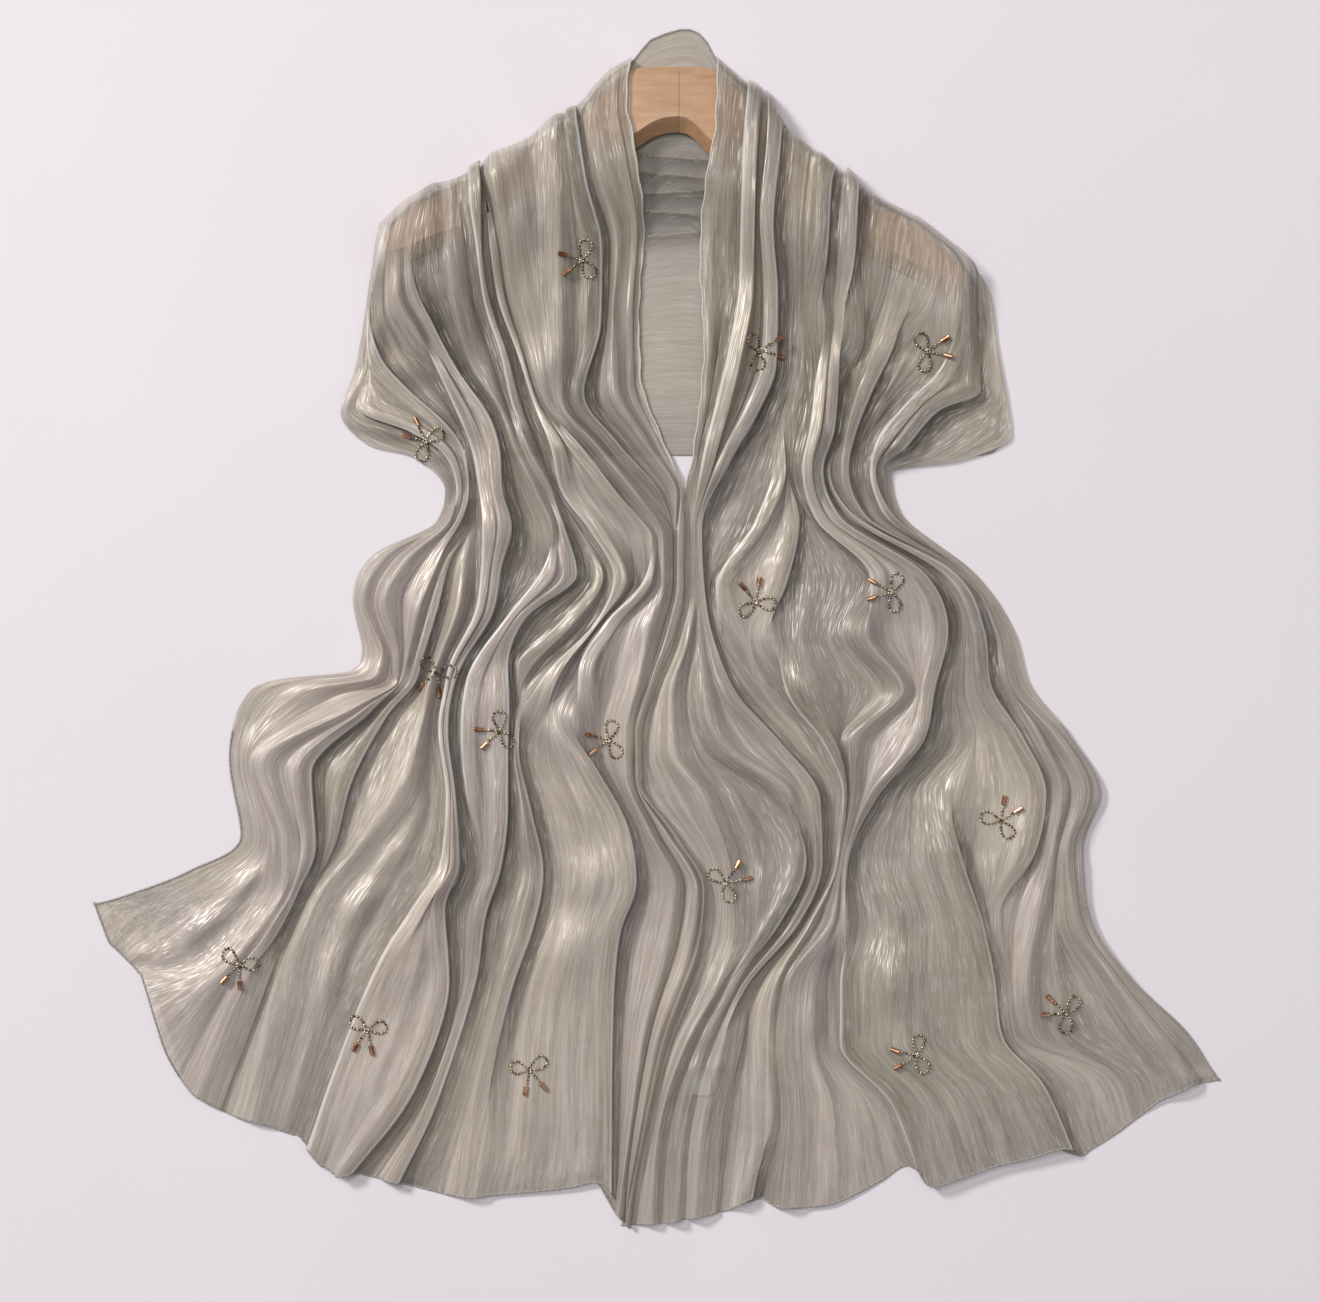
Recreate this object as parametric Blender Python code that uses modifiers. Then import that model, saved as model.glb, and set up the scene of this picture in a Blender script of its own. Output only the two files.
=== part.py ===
"""A hijab shawl of sheer organza, draped over a wooden coat hanger and laid flat on its back.

One long rectangle of cloth passes behind the hanger, over both of its shoulders and down the
front. Its middle is the back stretch, and its two ends are the left and right fronts.
Tables are in millimetres: X to the right, Y towards the collar, Z up from the surface below.

Each front is lofted through lines that cross it from its outer to its inner edge, one below the
other from the shoulder to the hem. A fold is a row that says where it crosses each line.
"""
import bmesh
import bpy
import numpy as np

MM = 0.001

# Middle of the whole outline, which goes to the origin
CENTRE_Y = 0.95

# Cloth and the gap that touching pieces keep
WALL = 1.2
GAP = 0.3

# The fronts lie on the surface, over the back stretch, or over the hanger
ON_SURFACE = WALL / 2
ON_BACK = WALL + GAP + WALL / 2
HANGER_BASE = WALL + GAP
HANGER_THICK = 14.0
OVER_HANGER = HANGER_BASE + HANGER_THICK + 3.0
CHEST_DROP = 42.0
END_DROP = 9.0
BACK_EDGE_REACH = 12.0
BACK_EDGE_DROP = 26.0

# The care label under the right front, as centre, size and thickness, and the lift over it
LABEL_PLACE = (34.0, -347.0)
LABEL_SIZE = (15.0, 19.0)
LABEL_THICK = 2.3
LABEL_LIFT = 1.3
LABEL_DROP = 9.0

# Half-widths of a fold's crest, of the steep face under its edge, and of a soft ridge's top
CREST = 9.0
FACE = 1.0
FOOT = 3.5
RIDGE_TOP = 2.5
SHARE = 0.34
SMALL_SHARE = 0.12
STEEPEST = 0.85
LEAST_SPACING = 0.9
FADE = 0.45

# Rows between the numbered lines: down the round of the shoulder, at the hanger's lower edge, and
# halfway down the field where the cloth leaves the back stretch
SHOULDER_ROUND = [0.85, 0.5, 0.0]
ABOVE_HANGER = 1.0
BELOW_HANGER = 1.5
LEFT_HALFWAY = [6.5, 7.5, 8.5, 9.5, 10.5, 12.5, 13.5, 15.5]
RIGHT_HALFWAY = [6.5, 8.5, 10.5, 11.5, 12.5, 13.5]
LEAST_STEP = 0.05
LEAST_REACH = 5.0

# The left front's inner edge rolls over the right front, below the neck
ROLL_LIFT = 6.0
ROLL_WIDTH = 6.0
ROLL_EDGE = 2.8
ROLL_FIRST_LINE = 6
UNDER_ROLL = 2.5
UNDER_ROLL_FIRST_LINE = 7
ABSENT_FROM = 0.38
EDGE_FLAT = 6.0
NECK_EDGE_FLAT = 1.5

# Left front: the lines from the outer to the inner edge, each a list of (x, y)
LEFT_LINES = [
    [(-210, 313), (-191, 331), (-172, 342), (-158, 344), (-134, 354), (-97, 376), (-81, 389),
     (-63, 397), (-47, 418), (-35, 430), (-18, 439)],
    [(-218, 278), (-21, 407)],
    [(-224, 239), (-14, 361)],
    [(-232, 198), (-8, 307)],
    [(-242, 167), (-12, 245)],
    [(-223, 143), (-10, 192)],
    [(-185, 132), (6, 146)],
    [(-162, 107), (21, 104)],
    [(-169, 83), (23, 69)],
    [(-218, 57), (23, 35)],
    [(-233, 23), (17, -2)],
    [(-226, -15), (2, -40)],
    [(-235, -31), (-10, -81)],
    [(-306, -42), (-10, -115)],
    [(-328, -98), (18, -158)],
    [(-319, -157), (40, -199)],
    [(-358, -184), (35, -245)],
    [(-404, -202), (9, -315)],
    [(-429, -209), (-135, -383), (-13, -410)],
    [(-432, -209), (-421, -239), (-411, -249), (-392, -268), (-386, -291), (-378, -318),
     (-367, -341), (-358, -354), (-327, -372), (-300, -379), (-269, -391), (-267, -403),
     (-240, -420), (-234, -416), (-197, -424), (-162, -433), (-143, -435), (-97, -431),
     (-74, -429), (-43, -423), (-35, -425), (-33, -446), (-20, -459)],
]

# Folds, from the outer to the inner edge: name, first line, lift, side at each line, x at each line.
# Side + has the cloth on the left lying over, - the cloth on the right, 0 is a soft ridge, and a
# dot is a place where the fold is flat. At a space the fold has no place of its own.
LEFT_FOLDS = [
    ("bow_pleat", 4, 7, "----000000000000",
     [-230, -188, -162, -153, -159, -190, -207, -198, -199, -233, -299, -281, -284, -305, -335, -380]),
    ("wing_edge", 0, 7, "..+++++++0000+++++00",
     [-204, -212, -219, -210, -190, -160, -146, -143, -150, -167, -181, -190, -196, -219, -263, -260, -272, -290,
      -316, -350]),
    ("neck_groove", 9, 6, "+++++++", [-158, -167, -178, -185, -206, -232, -246]),
    ("long_ridge", 9, 6, "00000000000",
     [-147, -152, -166, -174, -180, -195, -228, -255, -272, -285, -308]),
    ("strip_left", 0, 8, "..00----------------",
     [-190, -198, -197, -181, -165, -150, -141, -136, -133, -134, -139, -157, -163, -167, -161, -165, -186,
      -213, -241, -268]),
    ("strip_right", 0, 8, "..0000++++++++++++++",
     [-177, -185, -183, -168, -151, -128, -119, -117, -110, -118, -125, -147, -156, -159, -153, -150, -161,
      -158, -185, -233]),
    ("diagonal_left", 0, 8, "..0000000------",
     [-164, -163, -160, -152, -141, -119, -108, -92, -80, -88, -114, -140, -148, -150, -145]),
    ("diagonal_right", 0, 8, "------00++++++++++++",
     [-143, -142, -137, -131, -119, -110, -97, -80, -69, -60, -99, -113, -112, -113, -113, -118, -130,
      -139, -168, -197]),
    ("under_band", 9, 6, "---", [-47, -73, -107]),
    ("second_band", 2, 7, "----------0+++++00",
     [-127, -121, -107, -94, -81, -73, -50, -33, -48, -83, -101, -105, -95, -86, -93, -112, -131, -140]),
    ("s_band", 0, 8, "000000++0---0+++++++",
     [-125, -121, -116, -110, -99, -86, -58, -30, -4, -10, -41, -60, -63, -45, -21, -15, -28, -33, -34,
      -34]),
    ("neck_ridge", 0, 5, "00000000000000000000",
     [-77, -77, -74, -73, -72, -72, -46, -16, 5, 5, -6, -14, -24, -23, -5, 14, 8, -10, -24, -29]),
    ("strap_edge", 0, 8, "++++++++", [-62, -59, -52, -41, -42, -55, -30, 4]),
]

# Right front: its lines run from the inner to the outer edge
RIGHT_LINES = [
    [(46, 439), (56, 431), (70, 417), (77, 414), (91, 403), (96, 385), (110, 377), (125, 362),
     (137, 351), (147, 347), (154, 340), (171, 331), (202, 316), (229, 295)],
    [(45, 391), (254, 262)],
    [(36, 334), (261, 219)],
    [(33, 280), (269, 176)],
    [(36, 222), (272, 149)],
    [(33, 176), (234, 130)],
    [(26, 127), (180, 120)],
    [(23, 77), (188, 90)],
    [(24, 31), (244, 44)],
    [(15, -8), (274, 1)],
    [(-3, -51), (287, -42)],
    [(-12, -92), (316, -80)],
    [(1, -130), (340, -124)],
    [(35, -180), (326, -170)],
    [(41, -226), (332, -220)],
    [(26, -272), (362, -265)],
    [(1, -322), (404, -305)],
    [(-14, -384), (423, -332)],
    [(-17, -457), (6, -454), (41, -448), (56, -445), (68, -437), (76, -434), (91, -442), (110, -443),
     (133, -441), (164, -428), (187, -413), (198, -409), (203, -422), (215, -429), (244, -414),
     (287, -404), (318, -394), (321, -406), (352, -387), (386, -361), (409, -349), (432, -345)],
]

RIGHT_FOLDS = [
    ("lapel_edge", 0, 7, "-------..0000000000",
     [70, 66, 64, 63, 55, 45, 34, 28, 29, 24, 12, 14, 38, 56, 60, 46, 20, 2, -4]),
    ("inner_ruffle", 9, 6, "0000++0000", [33, 37, 52, 100, 115, 94, 60, 36, 20, 14]),
    ("lapel_fold", 0, 8, "++++++++++++++++000",
     [96, 94, 89, 93, 92, 78, 55, 35, 37, 44, 62, 97, 125, 127, 109, 70, 50, 36, 30]),
    ("cowl_edge", 6, 7, "---0", [90, 74, 45, 52]),
    ("cowl_drop", 7, 6, "++0---00000+", [110, 100, 88, 99, 127, 142, 139, 118, 91, 85, 87, 74]),
    ("crossing_edge", 0, 8, "+++0-----0000000000",
     [137, 133, 130, 127, 122, 117, 111, 121, 163, 158, 186, 150, 150, 141, 132, 102, 99, 104, 100]),
    ("long_strip", 0, 8, "+++0++++++++++0----",
     [154, 153, 150, 143, 139, 136, 128, 141, 206, 223, 213, 204, 169, 147, 145, 140, 140, 178, 199]),
    ("top_strip", 12, 8, "0++++++", [228, 233, 249, 259, 265, 296, 319]),
    ("band_top", 6, 8, "++++++++0", [133, 152, 228, 250, 256, 280, 298, 289, 263]),
    ("wing_roll", 3, 7, "+++++   000000",
     [181, 165, 152, 147, 160, 292, 309, 301, 290, 283, 290]),
    ("wing_pleat", 3, 7, "-----   00000000",
     [216, 191, 168, 163, 173, 304, 325, 313, 318, 345, 372, 396, 405]),
    ("wing_under", 3, 7, "+++0", [249, 215, 191, 173]),
]

# Back stretch: x, lower edge, upper edge (the scarf's own long edges, and its shoulder outline)
BACK_COLUMNS = [
    (-226, 165, 205), (-216, 150, 268), (-205, 142, 311), (-188, 138, 328), (-160, 134, 341),
    (-132, 134, 352), (-97, 134, 373), (-79, 134, 387), (-62, 134, 394), (-46, 134, 415),
    (-34, 134, 427), (-19, 134, 436), (-12, 134, 445), (-5, 134, 453), (7, 134, 458), (18, 134, 461),
    (26, 134, 461), (33, 134, 458), (39, 134, 451), (46, 134, 437), (57, 134, 427), (76, 134, 411),
    (90, 134, 399), (97, 134, 381), (124, 134, 360), (153, 134, 337), (202, 134, 313), (228, 134, 292),
    (250, 134, 258), (258, 136, 215), (264, 142, 185),
]
BACK_ROWS = [0.0, 0.3, 0.55]
BACK_PLEATS = [("upper", 352, 3.0), ("middle", 334, 2.6), ("lower", 317, 2.2)]
PLEATS_FROM = 340
PLEAT_HALF = 7.0
PLEAT_MIDDLE = 11.0
PLEAT_REACH = 22.0

# Hanger: x, upper edge, lower edge; the halves meet at the joint
HANGER_LEFT = [
    (-207, 300, 285), (-200, 309, 279), (-172, 329, 290), (-134, 346, 305), (-97, 366, 325),
    (-63, 387, 345), (-40, 408, 356), (-18, 427, 367), (-4, 429, 376), (17, 429, 381),
]
HANGER_RIGHT = [
    (17, 429, 381), (30, 429, 374), (44, 427, 361), (70, 405, 342), (95, 376, 322), (125, 353, 305),
    (154, 331, 290), (202, 303, 267), (228, 281, 251), (235, 272, 256),
]
HANGER_CHAMFER = 4.0


def monotone_slopes(values):
    """Slopes of a curve through the rows of values, which never overshoots them."""
    steps = np.diff(values, axis=0)
    before = steps[:-1]
    after = steps[1:]
    rising = before * after > 0
    total = np.where(rising, before + after, 1.0)
    slopes = np.zeros_like(values)
    slopes[1:-1] = np.where(rising, 2 * before * after / total, 0.0)
    slopes[0] = steps[0]
    slopes[-1] = steps[-1]
    return slopes


def between_lines(values, at):
    """The columns of values read at the fractional line numbers in at, a row by a column."""
    slopes = monotone_slopes(values)
    line = np.minimum(np.floor(at).astype(int), len(values) - 2)
    column = np.arange(values.shape[1])
    t = (at - line)[:, :, None]
    start = (1 + 2 * t) * (1 - t) ** 2 * values[line, column] + t * (1 - t) ** 2 * slopes[line, column]
    after = t * t * (3 - 2 * t) * values[line + 1, column]
    return start + after + t * t * (t - 1) * slopes[line + 1, column]


def hanger_edge(x, which):
    """Y of the hanger's upper edge (1) or lower edge (2) at x."""
    hanger = np.array(HANGER_LEFT + HANGER_RIGHT[1:], float)
    return np.interp(x, hanger[:, 0], hanger[:, which])


def round_of_shoulder(x, y):
    """0 over the hanger and 1 at the fronts' upper outline, and the distance between the two."""
    outline = np.array(LEFT_LINES[0] + RIGHT_LINES[0], float)
    start = hanger_edge(x, 1) + ABOVE_HANGER
    reach = np.maximum(np.interp(x, outline[:, 0], outline[:, 1]) - start, LEAST_REACH)
    return np.clip((y - start) / reach, 0.0, 1.0), reach


def line_rows(values, halfway):
    """Line numbers of every row of the grid, for each column."""
    count, columns = values.shape[:2]
    fine = np.linspace(0, 2, 161)
    trial = between_lines(values, np.repeat(fine[:, None], columns, axis=1))
    above = round_of_shoulder(trial[:, :, 0], trial[:, :, 1])[0]
    below = hanger_edge(trial[:, :, 0], 2) - trial[:, :, 1]
    rows = [np.zeros(columns)]
    for share in SHOULDER_ROUND:
        found = np.array([np.interp(-share, -above[:, column], fine) for column in range(columns)])
        rows.append(np.clip(found, rows[-1] + LEAST_STEP, 1 - LEAST_STEP * (5 - len(rows))))
    rows.append(np.ones(columns))
    found = np.array([np.interp(BELOW_HANGER, below[:, column], fine) for column in range(columns)])
    rows.append(np.clip(found, 1 + LEAST_STEP, 2 - LEAST_STEP))
    later = sorted(list(range(2, count)) + halfway)
    return np.array(rows + [np.full(columns, float(line)) for line in later])


def fold_tables(lines, folds):
    """Position, side and height of each fold on each line; a fold that is absent there is flat."""
    count = len(lines)
    x = np.full((len(folds) + 2, count), np.nan)
    side = np.zeros((len(folds), count))
    height = np.zeros((len(folds), count))
    x[0] = [line[0][0] for line in lines]
    x[-1] = [line[-1][0] for line in lines]
    for row, (name, first, lift, sides, places) in enumerate(folds):
        listed = [first + number for number, mark in enumerate(sides) if mark != " "]
        raised = [first + number for number, mark in enumerate(sides) if mark in "+-0"]
        x[row + 1, listed] = places
        side[row, raised] = [{"+": 1.0, "-": -1.0, "0": 0.0}[mark] for mark in sides if mark in "+-0"]
        height[row, raised] = lift
        height[row, raised[0]] = lift * FADE
        if raised[-1] < count - 1:
            height[row, raised[-1]] = lift * FADE
    left = np.zeros_like(x)
    right = np.zeros_like(x)
    for line in range(count):
        present = np.flatnonzero(~np.isnan(x[:, line]))
        for here, after in zip(present[:-1], present[1:]):
            room = x[after, line] - x[here, line]
            right[here, line] = room
            left[after, line] = room
            spread = np.linspace(ABSENT_FROM, 1 - ABSENT_FROM, after - here + 1)[1:-1]
            x[here + 1:after, line] = x[here, line] + spread * room
            right[here + 1:after, line] = left[here + 1:after, line] = room * (spread[:1].sum() - ABSENT_FROM)
    return x, side, height, left, right


def fold_nodes(x, side, height, left, right):
    """Four points across each fold, as offsets from it and heights, mixed between its three kinds."""
    place = x[1:-1]
    left = left[1:-1]
    right = right[1:-1]
    height = np.minimum(height, STEEPEST * np.minimum(left, right))
    crest_left = np.minimum(CREST, SHARE * left)
    crest_right = np.minimum(CREST, SHARE * right)
    face = np.minimum(FACE, SMALL_SHARE * np.minimum(left, right))
    top = np.minimum(RIDGE_TOP, SMALL_SHARE * np.minimum(left, right))
    over_left = np.array([-crest_left, -face, face, np.minimum(FOOT, SHARE * right)])
    over_right = np.array([-np.minimum(FOOT, SHARE * left), -face, face, crest_right])
    ridge = np.array([-crest_left, -top, top, crest_right])
    over_left_rise = np.array([1.0, 0.85, 0.15, 0.0])[:, None, None]
    over_right_rise = np.array([0.0, 0.15, 0.85, 1.0])[:, None, None]
    ridge_rise = np.array([0.45, 0.97, 0.97, 0.45])[:, None, None]
    plus = np.clip(side, 0, 1)
    minus = np.clip(-side, 0, 1)
    soft = 1 - plus - minus
    offset = plus * over_left + minus * over_right + soft * ridge
    rise = plus * over_left_rise + minus * over_right_rise + soft * ridge_rise
    return place + offset, rise * height


def with_middles(x, z, first_x, last_x):
    """The nodes in order across the cloth, with one more halfway between neighbouring folds."""
    columns_x = [first_x]
    columns_z = [np.zeros_like(first_x)]
    for fold in range(x.shape[1]):
        for node in range(4):
            if node == 0:
                low = np.minimum(columns_z[-1], z[0, fold])
                columns_x.append((columns_x[-1] + x[0, fold]) / 2)
                columns_z.append(0.45 * (columns_z[-1] + z[0, fold]) + 0.2 * low)
            columns_x.append(x[node, fold])
            columns_z.append(z[node, fold])
    columns_x.append((columns_x[-1] + last_x) / 2)
    columns_z.append(0.45 * columns_z[-1])
    columns_x.append(last_x)
    columns_z.append(np.zeros_like(last_x))
    return np.array(columns_x).T, np.array(columns_z).T


def rolled_edge(x, z, last_x, room):
    """Makes the grid's last edge, rolled over below the neck and plain above it."""
    over = np.clip(np.arange(len(x)) - ROLL_FIRST_LINE, 0.0, 1.0)
    width = np.minimum(ROLL_WIDTH, SHARE * room)
    lift = np.minimum(ROLL_LIFT, 0.7 * room)
    new_x = last_x[:, None] - width[:, None] * np.array([1.0, 0.35, 0.0])
    new_z = over[:, None] * np.array([lift, 0.5 * (lift + ROLL_EDGE), 0 * lift + ROLL_EDGE]).T
    return np.hstack([x[:, :-2], new_x]), np.hstack([z[:, :-2], new_z])


def spaced(x):
    """Each row's values in order, moved apart where they are closer than the least spacing."""
    steps = np.arange(x.shape[1]) * LEAST_SPACING
    forward = np.maximum.accumulate(x - steps, axis=1) + steps
    back = (x - steps)[:, ::-1]
    backward = np.minimum.accumulate(back, axis=1)[:, ::-1] + steps
    least = x[:, :1] + steps
    most = x[:, -1:] - (steps[-1] - steps)
    return np.clip((forward + backward) / 2, least, most)


def smooth(t):
    """1 at t = 0 and below, falling smoothly to 0 at t = 1."""
    t = np.clip(t, 0.0, 1.0)
    return 1 - t * t * (3 - 2 * t)


def resting_height(x, y):
    """Height of the cloth's middle where it lies on the surface, the back stretch or the hanger."""
    back_x, back_low, back_high = np.array(BACK_COLUMNS, float).T
    beyond = np.maximum(np.maximum(back_x[0] - x, x - back_x[-1]), 0.0)
    below = np.maximum(np.interp(x, back_x, back_low) - y, 0.0)
    outside = np.hypot(beyond, below)
    low = ON_SURFACE + (ON_BACK - ON_SURFACE) * smooth((outside - BACK_EDGE_REACH) / BACK_EDGE_DROP)
    label_x = np.abs(x - LABEL_PLACE[0]) - LABEL_SIZE[0] / 2
    label_y = np.abs(y - LABEL_PLACE[1]) - LABEL_SIZE[1] / 2
    off_label = np.maximum(np.maximum(label_x, label_y), 0.0)
    low = low + LABEL_LIFT * smooth((off_label - 3.0) / LABEL_DROP)
    below = hanger_edge(x, 2) - y - BELOW_HANGER
    past_end = np.maximum(HANGER_LEFT[0][0] - x, x - HANGER_RIGHT[-1][0]) - 1.0
    shoulder = np.sqrt(1 - round_of_shoulder(x, y)[0] ** 2)
    end = np.sqrt(1 - np.clip(past_end / END_DROP, 0.0, 1.0) ** 2)
    return low + (OVER_HANGER - low) * shoulder * end * smooth(below / CHEST_DROP)


def on_lines(x, lines):
    """Y of each row of x along its own line."""
    return np.array([np.interp(row, *np.array(line, float).T) for row, line in zip(x, lines)])


def grid_points(x, z, lines, halfway):
    """The grid of a front's middle surface, from its columns on the lines."""
    x = spaced(x)
    values = np.stack([x, on_lines(x, lines), z], axis=2)
    points = between_lines(values, line_rows(values, halfway))
    x, y, fold = np.moveaxis(points, 2, 0)
    turn, reach = round_of_shoulder(x, y)
    outward = turn / reach
    upward = np.sqrt(1 - turn ** 2) / (OVER_HANGER - ON_BACK)
    size = np.hypot(outward, upward)
    return np.stack([x, y + fold * outward / size, resting_height(x, y) + fold * upward / size], axis=2)


def left_points():
    x, side, height, left, right = fold_tables(LEFT_LINES, LEFT_FOLDS)
    node_x, node_z = fold_nodes(x, side, height, left, right)
    grid_x, grid_z = with_middles(node_x, node_z, x[0], x[-1])
    grid_x, grid_z = rolled_edge(grid_x, grid_z, x[-1], left[-1])
    return grid_points(grid_x, grid_z, LEFT_LINES, LEFT_HALFWAY)


def right_points(left):
    """The right front, whose inner edge follows the left front's from the neck down."""
    seam = left[:, -1, :2][::-1]
    lines = [list(line) for line in RIGHT_LINES]
    for line in lines[UNDER_ROLL_FIRST_LINE:]:
        line[0] = (np.interp(line[0][1], seam[:, 1], seam[:, 0]) - UNDER_ROLL, line[0][1])
    edge = np.array([line[0][0] for line in lines])
    for number, line in enumerate(lines):
        flat = EDGE_FLAT if number >= UNDER_ROLL_FIRST_LINE else NECK_EDGE_FLAT
        inside = line[0][0] + flat
        line.insert(1, (inside, np.interp(inside, *np.array(line).T)))
    x, side, height, left, right = fold_tables([line[1:] for line in lines], RIGHT_FOLDS)
    node_x, node_z = fold_nodes(x, side, height, left, right)
    grid_x, grid_z = with_middles(node_x, node_z, x[0], x[-1])
    grid_x = np.hstack([edge[:, None], grid_x])
    grid_z = np.hstack([np.zeros((len(edge), 1)), grid_z])
    grid_z[:, 2] = 0.0
    points = grid_points(grid_x, grid_z, lines, RIGHT_HALFWAY)
    below_neck = points[:, 0, 1] < lines[UNDER_ROLL_FIRST_LINE - 1][0][1] - LEAST_REACH
    followed = np.interp(points[:, 0, 1], seam[:, 1], seam[:, 0]) - UNDER_ROLL
    points[:, 0, 0] = np.where(below_neck, followed, points[:, 0, 0])
    flat = np.minimum(followed + EDGE_FLAT, points[:, 2, 0] - LEAST_SPACING)
    points[:, 1, 0] = np.where(below_neck, flat, points[:, 1, 0])
    return points


def back_points():
    """Grid of points on the back stretch, flat but for the pleats that show in the neck."""
    crests = [(y + shift * PLEAT_HALF, lift * rise) for name, y, lift in BACK_PLEATS
              for shift, rise in ((-1, 0.0), (0, 1.0), (1, 0.0))]
    x, low, high = np.array(BACK_COLUMNS, float).T
    rows = [(low + share * (np.minimum(high, PLEATS_FROM) - low), 0.0) for share in BACK_ROWS]
    for y, lift in sorted(crests):
        rows.append((np.minimum(y, low + (0.6 + y / 1000) * (high - low)), lift))
    rows.append((high, 0.0))
    inside = smooth(np.abs(x - PLEAT_MIDDLE) / PLEAT_REACH)
    return np.array([np.stack([x, y, ON_SURFACE + lift * inside], axis=1) for y, lift in rows])


def material(name, colour, roughness):
    made = bpy.data.materials.new(name)
    made.use_nodes = True
    shader = made.node_tree.nodes["Principled BSDF"]
    shader.inputs["Base Color"].default_value = (*colour, 1.0)
    shader.inputs["Roughness"].default_value = roughness
    shader.inputs["Metallic"].default_value = 0.0
    return made


def add_object(name, shape, collection, parent, look):
    """An object in the collection, from a bmesh in millimetres."""
    mesh = bpy.data.meshes.new(name)
    bmesh.ops.scale(shape, vec=(MM, MM, MM), verts=shape.verts)
    bmesh.ops.recalc_face_normals(shape, faces=shape.faces)
    shape.to_mesh(mesh)
    shape.free()
    made = bpy.data.objects.new(name, mesh)
    mesh.materials.append(look)
    mesh.shade_smooth()
    mesh.set_sharp_from_angle(angle=0.9)
    made.parent = parent
    collection.objects.link(made)
    return made


def grid_shape(points):
    """Quads between the rows and columns of points, facing up."""
    shape = bmesh.new()
    verts = [[shape.verts.new(point) for point in row] for row in points]
    for lower, upper in zip(verts[1:], verts[:-1]):
        for column in range(len(lower) - 1):
            shape.faces.new((lower[column], lower[column + 1], upper[column + 1], upper[column]))
    return shape


def add_cloth(name, points, collection, parent, look):
    """A wall of cloth about its middle surface."""
    made = add_object(name, grid_shape(points), collection, parent, look)
    wall = made.modifiers.new("wall", "SOLIDIFY")
    wall.thickness = WALL * MM
    wall.offset = 0.0
    return made


def add_hanger_half(name, rows, start_gap, collection, parent, look):
    """Half of the hanger: a loft of chamfered sections along its arm."""
    shape = bmesh.new()
    rings = []
    bottom = HANGER_BASE
    top = HANGER_BASE + HANGER_THICK
    for number, (x, high, low) in enumerate(rows):
        c = HANGER_CHAMFER
        if number == 0:
            x += start_gap
        section = [(high, bottom + c), (high - c, bottom), (low + c, bottom), (low, bottom + c),
                   (low, top - c), (low + c, top), (high - c, top), (high, top - c)]
        rings.append([shape.verts.new((x, y, z)) for y, z in section])
    for near, far in zip(rings[:-1], rings[1:]):
        for corner in range(len(near)):
            after = (corner + 1) % len(near)
            shape.faces.new((near[corner], near[after], far[after], far[corner]))
    shape.faces.new(rings[0])
    shape.faces.new(reversed(rings[-1]))
    return add_object(name, shape, collection, parent, look)


def add_label(collection, parent, look):
    """The bare care label, a flat tab on the surface under the right front."""
    shape = bmesh.new()
    bmesh.ops.create_cube(shape, size=1.0)
    bmesh.ops.scale(shape, vec=(*LABEL_SIZE, LABEL_THICK), verts=shape.verts)
    bmesh.ops.translate(shape, vec=(*LABEL_PLACE, LABEL_THICK / 2), verts=shape.verts)
    return add_object("care_label", shape, collection, parent, look)


def build():
    for old in list(bpy.data.objects):
        bpy.data.objects.remove(old, do_unlink=True)
    collection = bpy.data.collections.new("hijab_shawl")
    bpy.context.scene.collection.children.link(collection)
    origin = bpy.data.objects.new("origin", None)
    collection.objects.link(origin)
    origin.location = (0.0, -CENTRE_Y * MM, 0.0)

    organza = material("organza", (0.31, 0.29, 0.25), 0.35)
    wood = material("wood", (0.58, 0.36, 0.20), 0.5)
    tape = material("label_tape", (0.7, 0.7, 0.67), 0.7)

    back = back_points()
    left = left_points()
    right = right_points(left)
    add_cloth("back_stretch", back, collection, origin, organza)
    add_cloth("left_front", left, collection, origin, organza)
    add_cloth("right_front", right, collection, origin, organza)
    add_hanger_half("hanger_left", HANGER_LEFT, 0.0, collection, origin, wood)
    add_hanger_half("hanger_right", HANGER_RIGHT, GAP, collection, origin, wood)
    add_label(collection, origin, tape)


build()
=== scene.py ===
"""Looks of a sheer organza hijab shawl, draped over a wooden coat hanger and laid flat.

Tables are in millimetres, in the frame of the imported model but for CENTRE_Y: X to the right,
Y towards the collar, Z up from the floor. The sheets of the two fronts are lofted through lines
that cross them, with folds that lap over, soft creases, overlocked edges and beaded bows.
"""
import math

import bpy
import numpy as np
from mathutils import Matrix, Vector
from mathutils.bvhtree import BVHTree


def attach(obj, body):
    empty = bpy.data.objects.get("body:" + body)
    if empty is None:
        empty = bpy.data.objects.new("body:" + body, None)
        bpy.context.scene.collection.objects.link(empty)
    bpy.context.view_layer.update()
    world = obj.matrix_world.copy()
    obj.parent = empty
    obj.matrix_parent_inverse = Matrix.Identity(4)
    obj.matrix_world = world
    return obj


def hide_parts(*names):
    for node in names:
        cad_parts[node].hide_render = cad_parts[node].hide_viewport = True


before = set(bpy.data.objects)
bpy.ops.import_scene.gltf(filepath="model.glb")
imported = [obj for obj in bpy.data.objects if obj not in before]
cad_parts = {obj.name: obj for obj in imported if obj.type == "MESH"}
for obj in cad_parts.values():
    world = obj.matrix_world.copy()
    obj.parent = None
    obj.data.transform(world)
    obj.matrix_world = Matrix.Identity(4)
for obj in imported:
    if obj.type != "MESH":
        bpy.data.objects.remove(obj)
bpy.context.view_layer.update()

MM = 0.001
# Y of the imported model's origin in these tables
CENTRE_Y = 0.95

# Camera: the point straight below it, the width that it sees there, and its lens and sensor
VIEW_X = 2.7
VIEW_Y = -17.0
VIEW_WIDTH = 1012.5
LENS = 70.0
SENSOR = 36.0

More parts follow.
